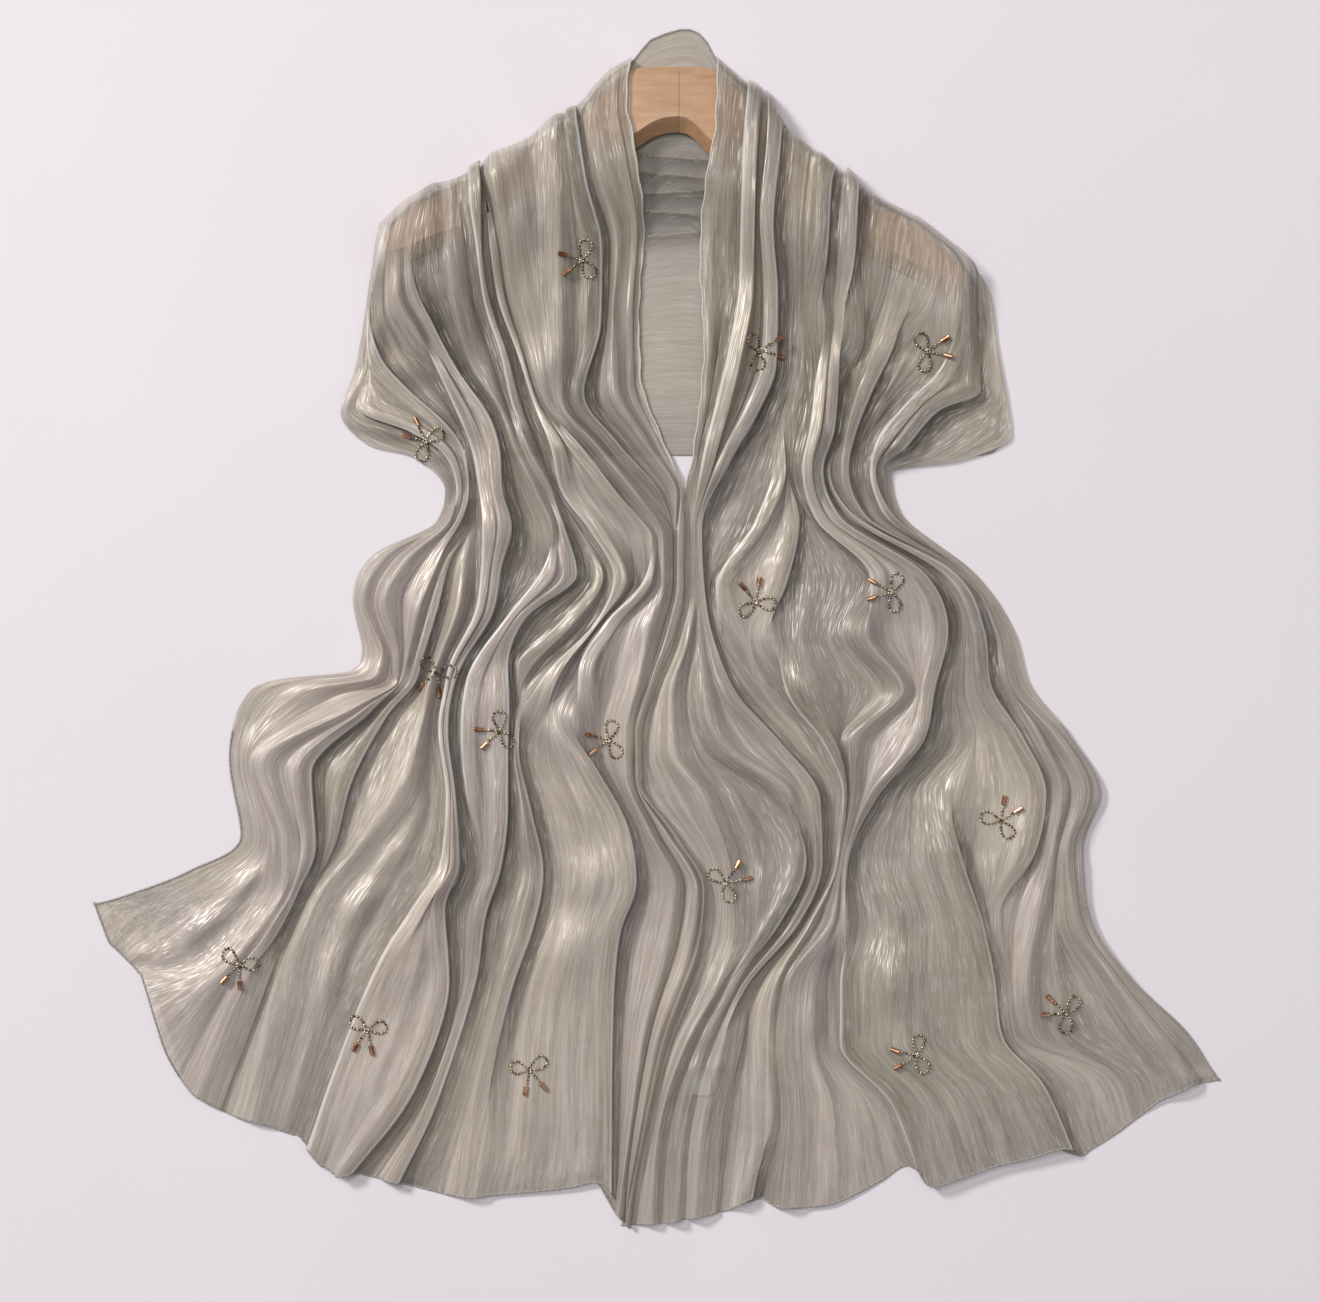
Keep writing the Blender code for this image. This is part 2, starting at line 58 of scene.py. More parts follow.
# Heights at which the cloth lies, as on the solids
ON_SURFACE = 0.5
ON_BACK = 2.1
HANGER_BASE = 1.5
HANGER_THICK = 14.0
OVER_HANGER = HANGER_BASE + HANGER_THICK + 2.5
CHEST_DROP = 80.0
END_DROP = 9.0
PAST_END = 1.0
BACK_EDGE_REACH = 12.0
BACK_EDGE_DROP = 26.0
ABOVE_HANGER = 1.0
BELOW_HANGER = 1.5
LEAST_REACH = 5.0
LABEL_PLACE = (34.0, -347.0)
LABEL_SIZE = (15.0, 19.0)
LABEL_LIFT = 2.2
LABEL_FLAT = 3.0
LABEL_DROP = 9.0

# Shape of a fold that laps over: crest, overlap and foot, and a soft ridge's half-widths. Each is
# limited to a share of the room beside the fold, and the rises are those of its four points.
CREST = 10.0
OVERLAP = 11.0
FOOT = 6.0
RIDGE = 15.0
RIDGE_TOP = 4.0
SHARE = 0.42
LAP_SHARE = 0.378
FOOT_SHARE = 0.3
TOP_SHARE = 0.14
MOST_HEIGHT = 0.9
LAP_RISE = (1.0, 0.8, 0.38, 0.0)
RIDGE_RISE = (0.42, 0.97, 0.97, 0.42)
SIDES = {"+": 1.0, "-": -1.0, "0": 0.0}

# Heights of the folds: where one starts or ends, along it, near the hem and over the hanger
LIFT = 1.8
FADE = 0.45
UNEVEN = 0.22
UNEVEN_ALONG = 1.7
UNEVEN_BESIDE = 2.3
AT_HEM = 0.62
LOWER_FROM = 8
LOWER_TO = 2
LESS_ON_HANGER = 0.35
SAG = 0.22

# Painted highlight along a fold's edge and painted shade beside it, which is weaker near the hem
EDGE_SHOWS = 9.0
EDGE_HIGHLIGHT = 4.5
SHADE_REACH = 9.0
HEM_SHADE = 0.6
HEM_SHADE_FROM = 9
HEM_SHADE_TO = 3

# Grid of a front: its nodes across, the columns between them, its slopes and its rows
ABSENT_FROM = 0.38
MIDDLES = (0.25, 0.5, 0.75)
NODES_A_FOLD = 4
NODES_A_GAP = NODES_A_FOLD + len(MIDDLES)
COLUMNS_A_NODE = 4
STEEPEST = 2.2
ROWS_A_LINE = 9
SHOULDER_LINES = 2
SHOULDER_ROWS = 33

# The left front's inner edge rolls over the right front, below the neck
ROLL_LIFT = 7.0
ROLL_WIDTH = 9.0
ROLL_EDGE = 1.2
ROLL_MOST = 0.7
ROLL_SLOPE = 0.7
ROLL_ACROSS = (1.0, 0.2, 0.1)
ROLL_FIRST_LINE = 6
UNDER_ROLL = 7.0
UNDER_ROLL_FIRST_LINE = 7
EDGE_FLAT = 8.0
NECK_EDGE_FLAT = 1.5

# Left front: the lines from the outer to the inner edge, each a list of (x, y)
LEFT_LINES = [
    [(-210, 313), (-191, 331), (-172, 342), (-158, 344), (-134, 354), (-97, 376), (-81, 389), (-63, 397),
     (-47, 418), (-35, 430), (-18, 439)],
    [(-218, 278), (-21, 407)], [(-224, 239), (-14, 361)], [(-232, 198), (-8, 307)],
    [(-242, 167), (-12, 245)], [(-223, 143), (-10, 192)], [(-185, 132), (6, 146)], [(-162, 107), (21, 104)],
    [(-169, 83), (23, 69)], [(-218, 57), (23, 35)], [(-233, 23), (17, -2)], [(-226, -15), (2, -40)],
    [(-235, -31), (-10, -81)], [(-306, -42), (-10, -115)], [(-328, -98), (18, -158)],
    [(-319, -157), (40, -199)], [(-358, -184), (35, -245)], [(-404, -202), (9, -315)],
    [(-429, -209), (-135, -383), (-13, -410)],
    [(-432, -209), (-421, -239), (-411, -249), (-392, -268), (-386, -291), (-378, -318), (-367, -341),
     (-358, -354), (-327, -372), (-300, -379), (-269, -391), (-267, -403), (-240, -420), (-234, -416),
     (-197, -424), (-162, -433), (-143, -435), (-97, -431), (-74, -429), (-43, -423), (-35, -425),
     (-33, -446), (-20, -459)],
]

# Folds by name, from the outer to the inner edge: first line, lift, side and x at each line.
# Side + has the cloth on the left lying over, - the cloth on the right, 0 is a soft ridge, and a
# dot is a place where the fold is flat. At a space the fold has no place of its own.
LEFT_FOLDS = {
    "outer_roll": (9, 5, "00000", [-208, -224, -210, -215, -270]),
    "bow_pleat": (4, 7, "----000000000000",
     [-230, -188, -162, -153, -159, -190, -207, -198, -199, -233, -299, -281, -284, -305, -335, -380]),
    "wing_edge": (0, 7, "..+++++++0000+++++00",
     [-204, -212, -219, -210, -190, -160, -146, -143, -150, -167, -181, -190, -196, -219, -263, -260,
     -272, -290, -316, -350]),
    "neck_groove": (9, 6, "+++++++", [-158, -167, -178, -185, -206, -232, -246]),
    "long_ridge": (9, 6, "00000000000", [-147, -152, -166, -174, -180, -195, -228, -255, -272, -285, -308]),
    "strip_left": (0, 8, "..00----------------",
     [-190, -198, -197, -181, -165, -150, -141, -136, -133, -134, -139, -157, -163, -167, -161, -165,
     -186, -213, -241, -268]),
    "strip_right": (0, 8, "..++++++++++++++++++",
     [-177, -185, -183, -168, -151, -128, -119, -117, -110, -118, -125, -147, -156, -159, -153, -150,
     -161, -158, -185, -233]),
    "diagonal_left": (0, 8, "..0000000------",
     [-164, -163, -160, -152, -141, -119, -108, -92, -80, -88, -114, -140, -148, -150, -145]),
    "diagonal_right": (0, 8, "------00++++++++++++",
     [-143, -142, -137, -131, -119, -110, -97, -80, -69, -60, -99, -113, -112, -113, -113, -118, -130,
     -139, -168, -197]),
    "under_band": (9, 6, "---", [-47, -73, -107]),
    "second_band": (2, 7, "----------0+++++00",
     [-127, -121, -107, -94, -81, -73, -50, -33, -48, -83, -101, -105, -95, -86, -93, -112, -131, -140]),
    "s_band": (0, 8, "000000++0---0+++++++",
     [-125, -121, -116, -110, -99, -86, -58, -30, -4, -10, -41, -60, -63, -45, -21, -15, -28, -33, -34,
     -34]),
    "neck_ridge": (0, 5, "00000000000000000000",
     [-77, -77, -74, -73, -72, -72, -46, -16, 5, 5, -6, -14, -24, -23, -5, 14, 8, -10, -24, -29]),
    "strap_edge": (0, 8, "++++++++", [-62, -59, -52, -41, -42, -55, -30, 4]),
    "inner_ridge": (1, 5, "0000000      00000", [-50, -43, -29.5, -33, -33, -10, 15, 8, 30, 24, 0, -18]),
}

CREASE_LIFT = 2.1
CREASE_WIDTH = 1.3
CREASE_SWELL = 0.7
CREASE_UNEVEN = 0.3
CREASE_ALONG = 5
CREASE_BESIDE = 3

# Soft creases between the folds: gap (0 outside the first fold), place in it at each end as a share,
# first and last line, height (below 0 a trough) and half-width
LEFT_CREASES = [
    (1, 0.3, 0.5, 3, 8, 2.2, 7), (1, 0.7, 0.4, 5, 9, -1.6, 5), (3, 0.2, 0.5, 0, 5, 2.4, 9),
    (3, 0.7, 0.6, 2, 8, 1.8, 6), (1, 0.5, 0.4, 13, 19, 2.6, 10), (1, 0.8, 0.7, 14, 19, -1.8, 6),
    (2, 0.4, 0.5, 12, 19, 2.0, 6), (5, 0.3, 0.4, 14, 19, 2.6, 8), (5, 0.7, 0.75, 12, 18, -1.6, 5),
    (6, 0.5, 0.4, 13, 19, 2.4, 8), (7, 0.5, 0.5, 0, 4, 2.4, 8), (8, 0.3, 0.4, 1, 7, 2.0, 6),
    (9, 0.3, 0.35, 0, 3, 2.2, 7), (9, 0.55, 0.3, 15, 19, 3.0, 11), (9, 0.8, 0.7, 13, 19, -2.0, 7),
    (9, 0.25, 0.2, 12, 17, 2.0, 6), (10, 0.5, 0.6, 13, 17, 2.2, 7), (11, 0.3, 0.3, 0, 6, -1.8, 6),
    (11, 0.6, 0.55, 10, 19, 2.6, 9), (11, 0.3, 0.25, 14, 19, 2.2, 7), (12, 0.25, 0.3, 0, 7, 3.0, 8),
    (12, 0.6, 0.6, 0, 6, -1.8, 6), (12, 0.85, 0.8, 2, 7, 2.0, 5), (13, 0.5, 0.5, 0, 6, 1.8, 5),
    (14, 0.5, 0.5, 9, 14, 2.0, 6), (15, 0.5, 0.4, 0, 5, 1.6, 5), (15, 0.4, 0.5, 14, 19, 2.4, 8),
]

# Tone of each gap between folds over the chest and below the waist, from the outer to the inner
# edge: above 0 a pale lilac strap, below 0 a darker olive hollow; partly the cloth's layers, partly
# painted light on the straps and painted shade in the hollows
TONE_CHANGE = (5.0, 9.0)
TONE_BLEND = 0.6
LEFT_TONES_AND_LIGHT = [
    (0.4, 0.6), (0.6, 0.8), (0.6, 1.0), (0.7, 0.0), (0.7, 0.4), (0.8, 0.5), (0.8, 1.0), (-1.0, -0.2),
    (0.9, 1.0), (-0.3, -0.2), (0.0, 0.5), (0.1, 0.5), (0.5, 0.8), (-0.7, -0.2), (0.4, 0.7), (0.3, 0.5),
]

# Right front: its lines run from the inner to the outer edge
RIGHT_LINES = [
    [(46, 439), (56, 431), (70, 417), (77, 414), (91, 403), (96, 385), (110, 377), (125, 362), (137, 351),
     (147, 347), (154, 340), (171, 331), (202, 316), (229, 295)],
    [(45, 391), (254, 262)], [(36, 334), (261, 219)], [(33, 280), (269, 176)], [(36, 222), (272, 149)],
    [(33, 176), (234, 130)], [(26, 127), (180, 120)], [(23, 77), (188, 90)], [(24, 31), (244, 44)],
    [(15, -8), (274, 1)], [(-3, -51), (287, -42)], [(-12, -92), (316, -80)], [(1, -130), (340, -124)],
    [(35, -180), (326, -170)], [(41, -226), (332, -220)], [(26, -272), (362, -265)],
    [(1, -322), (404, -305)], [(-14, -384), (423, -332)],
    [(-17, -457), (6, -454), (41, -448), (56, -445), (68, -437), (76, -434), (91, -442), (110, -443),
     (133, -441), (164, -428), (187, -413), (198, -409), (203, -422), (215, -429), (244, -414), (287, -404),
     (318, -394), (321, -406), (352, -387), (386, -361), (409, -349), (432, -345)],
]

RIGHT_FOLDS = {
    "lapel_edge": (0, 7, "-------..0000000000",
     [70, 66, 64, 63, 55, 45, 34, 28, 29, 24, 12, 14, 38, 56, 60, 46, 20, 2, -4]),
    "inner_ruffle": (9, 6, "0000++0000", [33, 37, 52, 100, 115, 94, 60, 36, 20, 14]),
    "lapel_fold": (0, 8, "++++++++++++++++000",
     [96, 94, 89, 93, 92, 78, 55, 35, 37, 44, 62, 97, 125, 127, 109, 70, 50, 36, 30]),
    "cowl_edge": (6, 7, "---0", [90, 74, 45, 52]),
    "cowl_drop": (7, 6, "++0---00000+", [110, 100, 88, 99, 127, 142, 139, 118, 91, 85, 87, 74]),
    "crossing_edge": (0, 8, "+++0-----0000000000",
     [137, 133, 130, 127, 122, 117, 111, 121, 163, 158, 186, 150, 150, 141, 132, 102, 99, 104, 100]),
    "long_strip": (0, 8, "+++0++++++++++0----",
     [154, 153, 150, 143, 139, 136, 128, 141, 206, 223, 213, 204, 169, 147, 145, 140, 140, 178, 199]),
    "top_strip": (12, 8, "0++++++", [228, 233, 249, 259, 265, 296, 319]),
    "band_top": (6, 8, "++++++++0", [133, 152, 228, 250, 256, 280, 298, 289, 263]),
    "wing_roll": (1, 7, "..+++++   000000",
     [206, 197, 181, 165, 152, 147, 160, 292, 309, 301, 290, 283, 290]),
    "wing_pleat": (1, 7, "..-----   00000000",
     [229, 226, 216, 191, 168, 163, 173, 304, 325, 313, 318, 345, 372, 396, 405]),
    "wing_under": (1, 7, "..+++0", [245, 250, 249, 215, 191, 173]),
}

RIGHT_CREASES = [
    (0, 0.5, 0.5, 1, 6, 1.6, 5), (1, 0.5, 0.5, 0, 6, 2.2, 6), (3, 0.35, 0.4, 0, 4, 2.4, 8),
    (3, 0.7, 0.6, 1, 6, -1.8, 6), (6, 0.5, 0.5, 0, 3, 2.0, 6), (7, 0.25, 0.3, 0, 4, 2.6, 9),
    (7, 0.6, 0.5, 0, 3, -2.0, 8), (9, 0.5, 0.5, 3, 6, 2.4, 7), (10, 0.4, 0.4, 3, 5, 2.0, 6),
    (3, 0.5, 0.4, 9, 13, 2.6, 9), (3, 0.75, 0.7, 10, 16, -1.8, 6), (1, 0.5, 0.5, 10, 17, 2.4, 7),
    (5, 0.4, 0.4, 8, 12, 2.8, 10), (5, 0.5, 0.5, 14, 18, 2.2, 7), (6, 0.4, 0.5, 12, 18, 2.4, 7),
    (7, 0.3, 0.3, 9, 13, 2.4, 9), (7, 0.6, 0.6, 12, 18, 2.8, 10), (7, 0.3, 0.25, 14, 18, -2.0, 7),
    (8, 0.5, 0.4, 13, 18, 2.4, 9), (9, 0.35, 0.4, 8, 14, 2.0, 6), (10, 0.5, 0.5, 9, 18, 2.2, 6),
    (11, 0.5, 0.5, 8, 13, 1.8, 5), (11, 0.35, 0.4, 13, 18, 2.6, 9), (12, 0.5, 0.5, 9, 17, 2.2, 8),
]

# Tones of the right front's gaps: partly the cloth's layers, partly painted light and painted shade
RIGHT_TONES_AND_LIGHT = [
    (0.1, 0.4), (0.4, -0.5), (0.4, 0.5), (0.2, 0.0), (0.2, 0.5), (-0.2, -0.6), (0.8, 0.7), (-0.2, -0.5),
    (0.1, 0.3), (0.3, 0.9), (0.6, -0.2), (-0.3, 0.6), (0.1, 0.3),
]

# Where one layer of cloth lets the hanger or the care label show through: x, y, radius
SHEER_SPOTS = [(-182, 306, 30), (200, 300, 44), (60, 396, 24), (-36, 394, 22), (34, -347, 11)]
SHEER = 0.24
SHEER_FROM = 0.6
SHEER_FADE = 0.8

# Back stretch: x, lower edge, upper edge
BACK_COLUMNS = [
    (-226, 165, 205), (-216, 150, 268), (-205, 142, 311), (-188, 138, 328), (-160, 134, 341),
    (-132, 134, 352), (-97, 134, 373), (-79, 134, 387), (-62, 134, 394), (-46, 134, 415), (-34, 134, 427),
    (-19, 134, 436), (-12, 134, 445), (-5, 134, 453), (7, 134, 458), (18, 134, 461), (26, 134, 461),
    (33, 134, 458), (39, 134, 451), (46, 134, 437), (57, 134, 427), (76, 134, 411), (90, 134, 399),
    (97, 134, 381), (124, 134, 360), (153, 134, 337), (202, 134, 313), (228, 134, 292), (250, 134, 258),
    (258, 136, 215), (264, 142, 185),
]

# Pleats that cross the neck: y at the left end, y at the right end, lift, half-width
BACK_PLEATS = [
    (364, 358, 3.2, 5.0), (351, 343, 4.4, 7.0), (333, 336, 3.8, 6.5), (321, 316, 3.6, 7.0),
    (300, 306, 2.0, 7.0),
]
BACK_PLEAT_SPAN = (-22.0, 58.0)
PLEAT_FADE = 14.0
PLEAT_LAP = 0.62
# Strength of the painted highlight along a pleat's edge
PLEAT_HIGHLIGHT = 0.8

# Across a pleat, in shares of its half-width: place and reach of its crest, painted highlight at its edge
# and painted shade
PLEAT_PARTS = ((-0.5, 1.5), (-0.3, 0.3), (-0.85, 0.5))
BACK_GRID = (260, 240)

# Tone in the neck, and what makes it paler below and above: how much, from which y, over how far
NECK_TONE = -1.15
PALER_BELOW = (1.25, 292.0, 18.0)
PALER_ABOVE = (1.5, 425.0, 35.0)

# Hanger: x, upper edge, lower edge; the halves meet at the joint
HANGER_LEFT = [
    (-207, 300, 285), (-200, 309, 279), (-172, 329, 290), (-134, 346, 305), (-97, 366, 325),
    (-63, 387, 345), (-40, 408, 356), (-18, 427, 367), (-4, 429, 376), (8, 429, 380.2), (17, 429, 381),
]
HANGER_RIGHT = [
    (17, 429, 381), (24, 429, 379), (31, 429, 373.5), (44, 427, 361), (70, 405, 342), (95, 376, 322),
    (125, 353, 305), (154, 331, 290), (202, 303, 267), (228, 281, 251), (235, 272, 256),
]
JOINT_GAP = 0.3
HANGER_UNDER = 10.5
HANGER_SLOPE = 11.0
HANGER_LEVEL = 0.05
HANGER_FACE = (0.0, 0.04, 0.1, 0.4, 0.7, 0.93, 1.0)
HANGER_ROUND = 3.5
UNDER_ROUND = 2.0
SECTIONS_A_ROW = 10
SHARP = 0.7

# Overlocked edge: half-width, half-height, length of a stitch and how far it stands out
EDGE_HALF = 0.8
EDGE_RISE = 0.5
STITCH = 2.4
STITCH_OUT = 0.06
EDGE_STEP = 0.8
EDGE_SIDES = 8
EDGE_INSET = 0.8
EDGE_LOWEST = 0.1
OUTER_EDGE_TOP = -70.0
NECK_EDGE_END = 72.0
FAR = 1000.0

# Waves of the neck edges: length and size, and the length and size of a second wave as shares
RUFFLE = 25.0
RUFFLE_OUT = 0.5
SECOND_LENGTH = 1.63
SECOND_RUFFLE = 0.6
RUFFLE_COLUMNS = 8

# Beaded bows: x and y of the knot, and the direction of the tails in degrees from +X
BOWS = [
    (-56, 282, 190), (79, 213, 10), (207, 213, 10), (-176, 144, 140), (76, 21, 105), (179, 29, 175),
    (-168, -32, 250), (-120, -77, 200), (-36, -84, 190), (53, -193, 35), (263, -146, 55), (-319, -255, 250),
    (-221, -305, 260), (-97, -336, 285), (198, -324, 190), (313, -293, 160),
]
BEAD = 1.1
BEAD_STEP = 2.8
BEAD_STANDS = 0.8
CAST_FROM = 0.2
LOOP_LONG = 15.0
LOOP_WIDE = 9.5
LOOP_TURN = 70.0
TAIL_TURN = 24.0
TAIL_BEADS = 4
TAIL_START = 2.4
TUBE_GAP = 0.4
TUBE_LONG = 7.2
TUBE_RADIUS = 1.8
TUBE_STANDS = 0.9
TUBE_SIDES = 12
TUBE_PROFILE = ((-0.5, 0.55), (-0.5, 0.85), (-0.46, 1.0), (0.46, 1.0), (0.5, 0.85), (0.5, 0.55))

# Studio: the floor, and each light's name, place, size, power and colour
FLOOR_HALF = 3000
FLOOR_Z = -0.4
LIGHTS = [
    ("key", (-5.2, 3.9, 4.6), 1.8, 500, (1.0, 0.985, 0.965)),
    ("overhead", (-1.2, 1.6, 5.2), 2.6, 100, (1.0, 0.99, 0.98)),
    ("fill", (1.9, -1.1, 1.9), 2.0, 6, (0.97, 0.97, 1.0)),
]


def limited_slopes(values):
    """Slopes of a smooth curve through the rows of values, held back where it would overshoot."""
    steps = np.diff(values, axis=0)
    before = steps[:-1]
    after = steps[1:]
    most = STEEPEST * np.minimum(np.abs(before), np.abs(after))
    middle = np.clip((before + after) / 2, -most, most)
    slopes = np.zeros_like(values)
    slopes[1:-1] = np.where(before * after > 0, middle, 0.0)
    slopes[0] = steps[0]
    slopes[-1] = steps[-1]
    return slopes


def along_lines(values, at):
    """The rows of values, read at the fractional line numbers in at."""
    slopes = limited_slopes(values)
    line = np.minimum(np.floor(at).astype(int), len(values) - 2)
    t = (at - line).reshape((-1,) + (1,) * (values.ndim - 1))
    start = (1 + 2 * t) * (1 - t) ** 2 * values[line] + t * (1 - t) ** 2 * slopes[line]
    return start + t * t * (3 - 2 * t) * values[line + 1] + t * t * (t - 1) * slopes[line + 1]


def across_nodes(values, samples):
    """A smooth curve through the nodes of each row, with that many samples for each."""
    padded = np.concatenate([values[:, :1], values, values[:, -1:]], axis=1)
    t = (np.arange(samples) / samples)[None, None, :, None]
    p0 = padded[:, :-3, None]
    p1 = padded[:, 1:-2, None]
    p2 = padded[:, 2:-1, None]
    p3 = padded[:, 3:, None]
    curve = 0.5 * (2 * p1 + (p2 - p0) * t + (2 * p0 - 5 * p1 + 4 * p2 - p3) * t ** 2
                   + (3 * p1 - p0 - 3 * p2 + p3) * t ** 3)
    flat = curve.reshape(len(values), -1, values.shape[2])
    return np.concatenate([flat, values[:, -1:]], axis=1)


def smooth(t):
    """1 at t = 0 and below, falling smoothly to 0 at t = 1."""
    t = np.clip(t, 0.0, 1.0)
    return 1 - t * t * (3 - 2 * t)


def hanger_edge(x, which):
    """Y of the hanger's upper edge (1) or lower edge (2) at x."""
    hanger = np.array(HANGER_LEFT + HANGER_RIGHT[1:], float)
    return np.interp(x, hanger[:, 0], hanger[:, which])


def round_of_shoulder(x, y):
    """0 over the hanger and 1 at the fronts' upper outline, and the distance between the two."""
    outline = np.array(LEFT_LINES[0] + RIGHT_LINES[0], float)
    start = hanger_edge(x, 1) + ABOVE_HANGER
    reach = np.maximum(np.interp(x, outline[:, 0], outline[:, 1]) - start, LEAST_REACH)
    return np.clip((y - start) / reach, 0.0, 1.0), reach


def resting_height(x, y):
    """Height of the cloth where it lies on the floor, the back stretch or the hanger."""
    back_x, back_low = np.array(BACK_COLUMNS, float).T[:2]
    beyond = np.maximum(np.maximum(back_x[0] - x, x - back_x[-1]), 0.0)
    below = np.maximum(np.interp(x, back_x, back_low) - y, 0.0)
    outside = np.hypot(beyond, below)
    low = ON_SURFACE + (ON_BACK - ON_SURFACE) * smooth((outside - BACK_EDGE_REACH) / BACK_EDGE_DROP)
    label_x = np.abs(x - LABEL_PLACE[0]) - LABEL_SIZE[0] / 2
    label_y = np.abs(y - LABEL_PLACE[1]) - LABEL_SIZE[1] / 2
    off_label = np.maximum(np.maximum(label_x, label_y), 0.0)
    low = low + LABEL_LIFT * smooth((off_label - LABEL_FLAT) / LABEL_DROP)
    under_hanger = hanger_edge(x, 2) - y - BELOW_HANGER
    past_end = np.maximum(HANGER_LEFT[0][0] - x, x - HANGER_RIGHT[-1][0]) - PAST_END
    shoulder = np.sqrt(1 - round_of_shoulder(x, y)[0] ** 2)
    end = np.sqrt(1 - np.clip(past_end / END_DROP, 0.0, 1.0) ** 2)
    return low + (OVER_HANGER - low) * shoulder * end * smooth(under_hanger / CHEST_DROP)


def fold_tables(lines, folds):
    """Position, side and height of each fold on each line, and the room on its two sides."""
    count = len(lines)
    x = np.full((len(folds) + 2, count), np.nan)
    side = np.zeros((len(folds), count))
    height = np.zeros((len(folds), count))
    lower = np.interp(np.arange(count), (count - LOWER_FROM, count - LOWER_TO), (1.0, AT_HEM))
    x[0] = [line[0][0] for line in lines]
    x[-1] = [line[-1][0] for line in lines]
    for row, (first, lift, marks, places) in enumerate(folds.values()):
        listed = [first + number for number, mark in enumerate(marks) if mark != " "]
        raised = [first + number for number, mark in enumerate(marks) if mark in SIDES]
        x[row + 1, listed] = places
        side[row, raised] = [SIDES[mark] for mark in marks if mark in SIDES]
        uneven = 1 + UNEVEN * np.sin(UNEVEN_ALONG * np.array(raised) + UNEVEN_BESIDE * row)
        height[row, raised] = lift * LIFT * uneven * lower[raised]
        height[row, raised[0]] *= FADE
        if raised[-1] < count - 1:
            height[row, raised[-1]] *= FADE
    left = np.zeros_like(x)
    right = np.zeros_like(x)
    for line in range(count):
        present = np.flatnonzero(~np.isnan(x[:, line]))
        for here, after in zip(present[:-1], present[1:]):
            room = x[after, line] - x[here, line]
            right[here, line] = room
            left[after, line] = room
            absent = slice(here + 1, after)
            spread = np.linspace(ABSENT_FROM, 1 - ABSENT_FROM, after - here + 1)[1:-1]
            x[absent, line] = x[here, line] + spread * room
            left[absent, line] = room * (1 - 2 * ABSENT_FROM) / (after - here)
            right[absent, line] = left[absent, line]
    return x, side, height, left, right


def lap_offsets(over, beside):
    """Offsets of the four points of a fold that laps over, from the room on its two sides."""
    return np.array([-np.minimum(CREST, SHARE * over), 0 * over, -np.minimum(OVERLAP, LAP_SHARE * over),
                     np.minimum(FOOT, FOOT_SHARE * beside)])


def fold_nodes(x, side, height, left, right):
    """Four points across each fold, as places and heights, mixed between its three kinds."""
    left = left[1:-1]
    right = right[1:-1]
    least = np.minimum(left, right)
    height = np.minimum(height, MOST_HEIGHT * least)
    top = np.minimum(RIDGE_TOP, TOP_SHARE * least)
    ridge = np.array([-np.minimum(RIDGE, SHARE * left), -top, top, np.minimum(RIDGE, SHARE * right)])
    lap_rise, ridge_rise = np.array([LAP_RISE, RIDGE_RISE])[:, :, None, None]
    plus = np.clip(side, 0, 1)
    minus = np.clip(-side, 0, 1)
    soft = 1 - plus - minus
    offset = plus * lap_offsets(left, right) - minus * lap_offsets(right, left)[::-1] + soft * ridge
    rise = plus * lap_rise + minus * lap_rise[::-1] + soft * ridge_rise
    return x[1:-1] + offset, rise * height


def with_middles(x, z, first_x, last_x):
    """The nodes in order across the cloth, with three more between neighbouring folds."""
    columns_x = [first_x]
    columns_z = [0 * first_x]
    groups = [*zip(np.moveaxis(x, 1, 0), np.moveaxis(z, 1, 0)), ([last_x], [0 * last_x])]
    for group_x, group_z in groups:
        start_x = columns_x[-1]
        start_z = columns_z[-1]
        for share in MIDDLES:
            t = share * share * (3 - 2 * share)
            sag = 1 - SAG * 4 * share * (1 - share)
            columns_x.append(start_x + share * (group_x[0] - start_x))
            columns_z.append((start_z + t * (group_z[0] - start_z)) * sag)
        columns_x += list(group_x)
        columns_z += list(group_z)
    return np.array(columns_x).T, np.array(columns_z).T


def rolled_edge(x, z, last_x, room):
    """Makes the grid's last edge, rolled over below the neck and plain above it."""
    over = np.clip(np.arange(len(x)) - ROLL_FIRST_LINE, 0.0, 1.0)
    width = np.minimum(ROLL_WIDTH, SHARE * room)
    lift = np.minimum(ROLL_LIFT, ROLL_MOST * room)
    new_x = last_x[:, None] - width[:, None] * np.array(ROLL_ACROSS)
    new_z = over[:, None] * np.array([lift, ROLL_SLOPE * lift, 0 * lift + ROLL_EDGE]).T
    return np.hstack([x[:, :-2], new_x]), np.hstack([z[:, :-2], new_z])


def on_lines(x, lines):
    """Y of each row of x along its own line."""
    return np.array([np.interp(row, *np.array(line, float).T) for row, line in zip(x, lines)])


def row_numbers(count):
    """Line numbers of the grid's rows, closer together over the shoulder."""
    later = np.linspace(SHOULDER_LINES, count - 1, (count - 1 - SHOULDER_LINES) * ROWS_A_LINE + 1)
    return np.concatenate([np.linspace(0, SHOULDER_LINES, SHOULDER_ROWS), later[1:]])


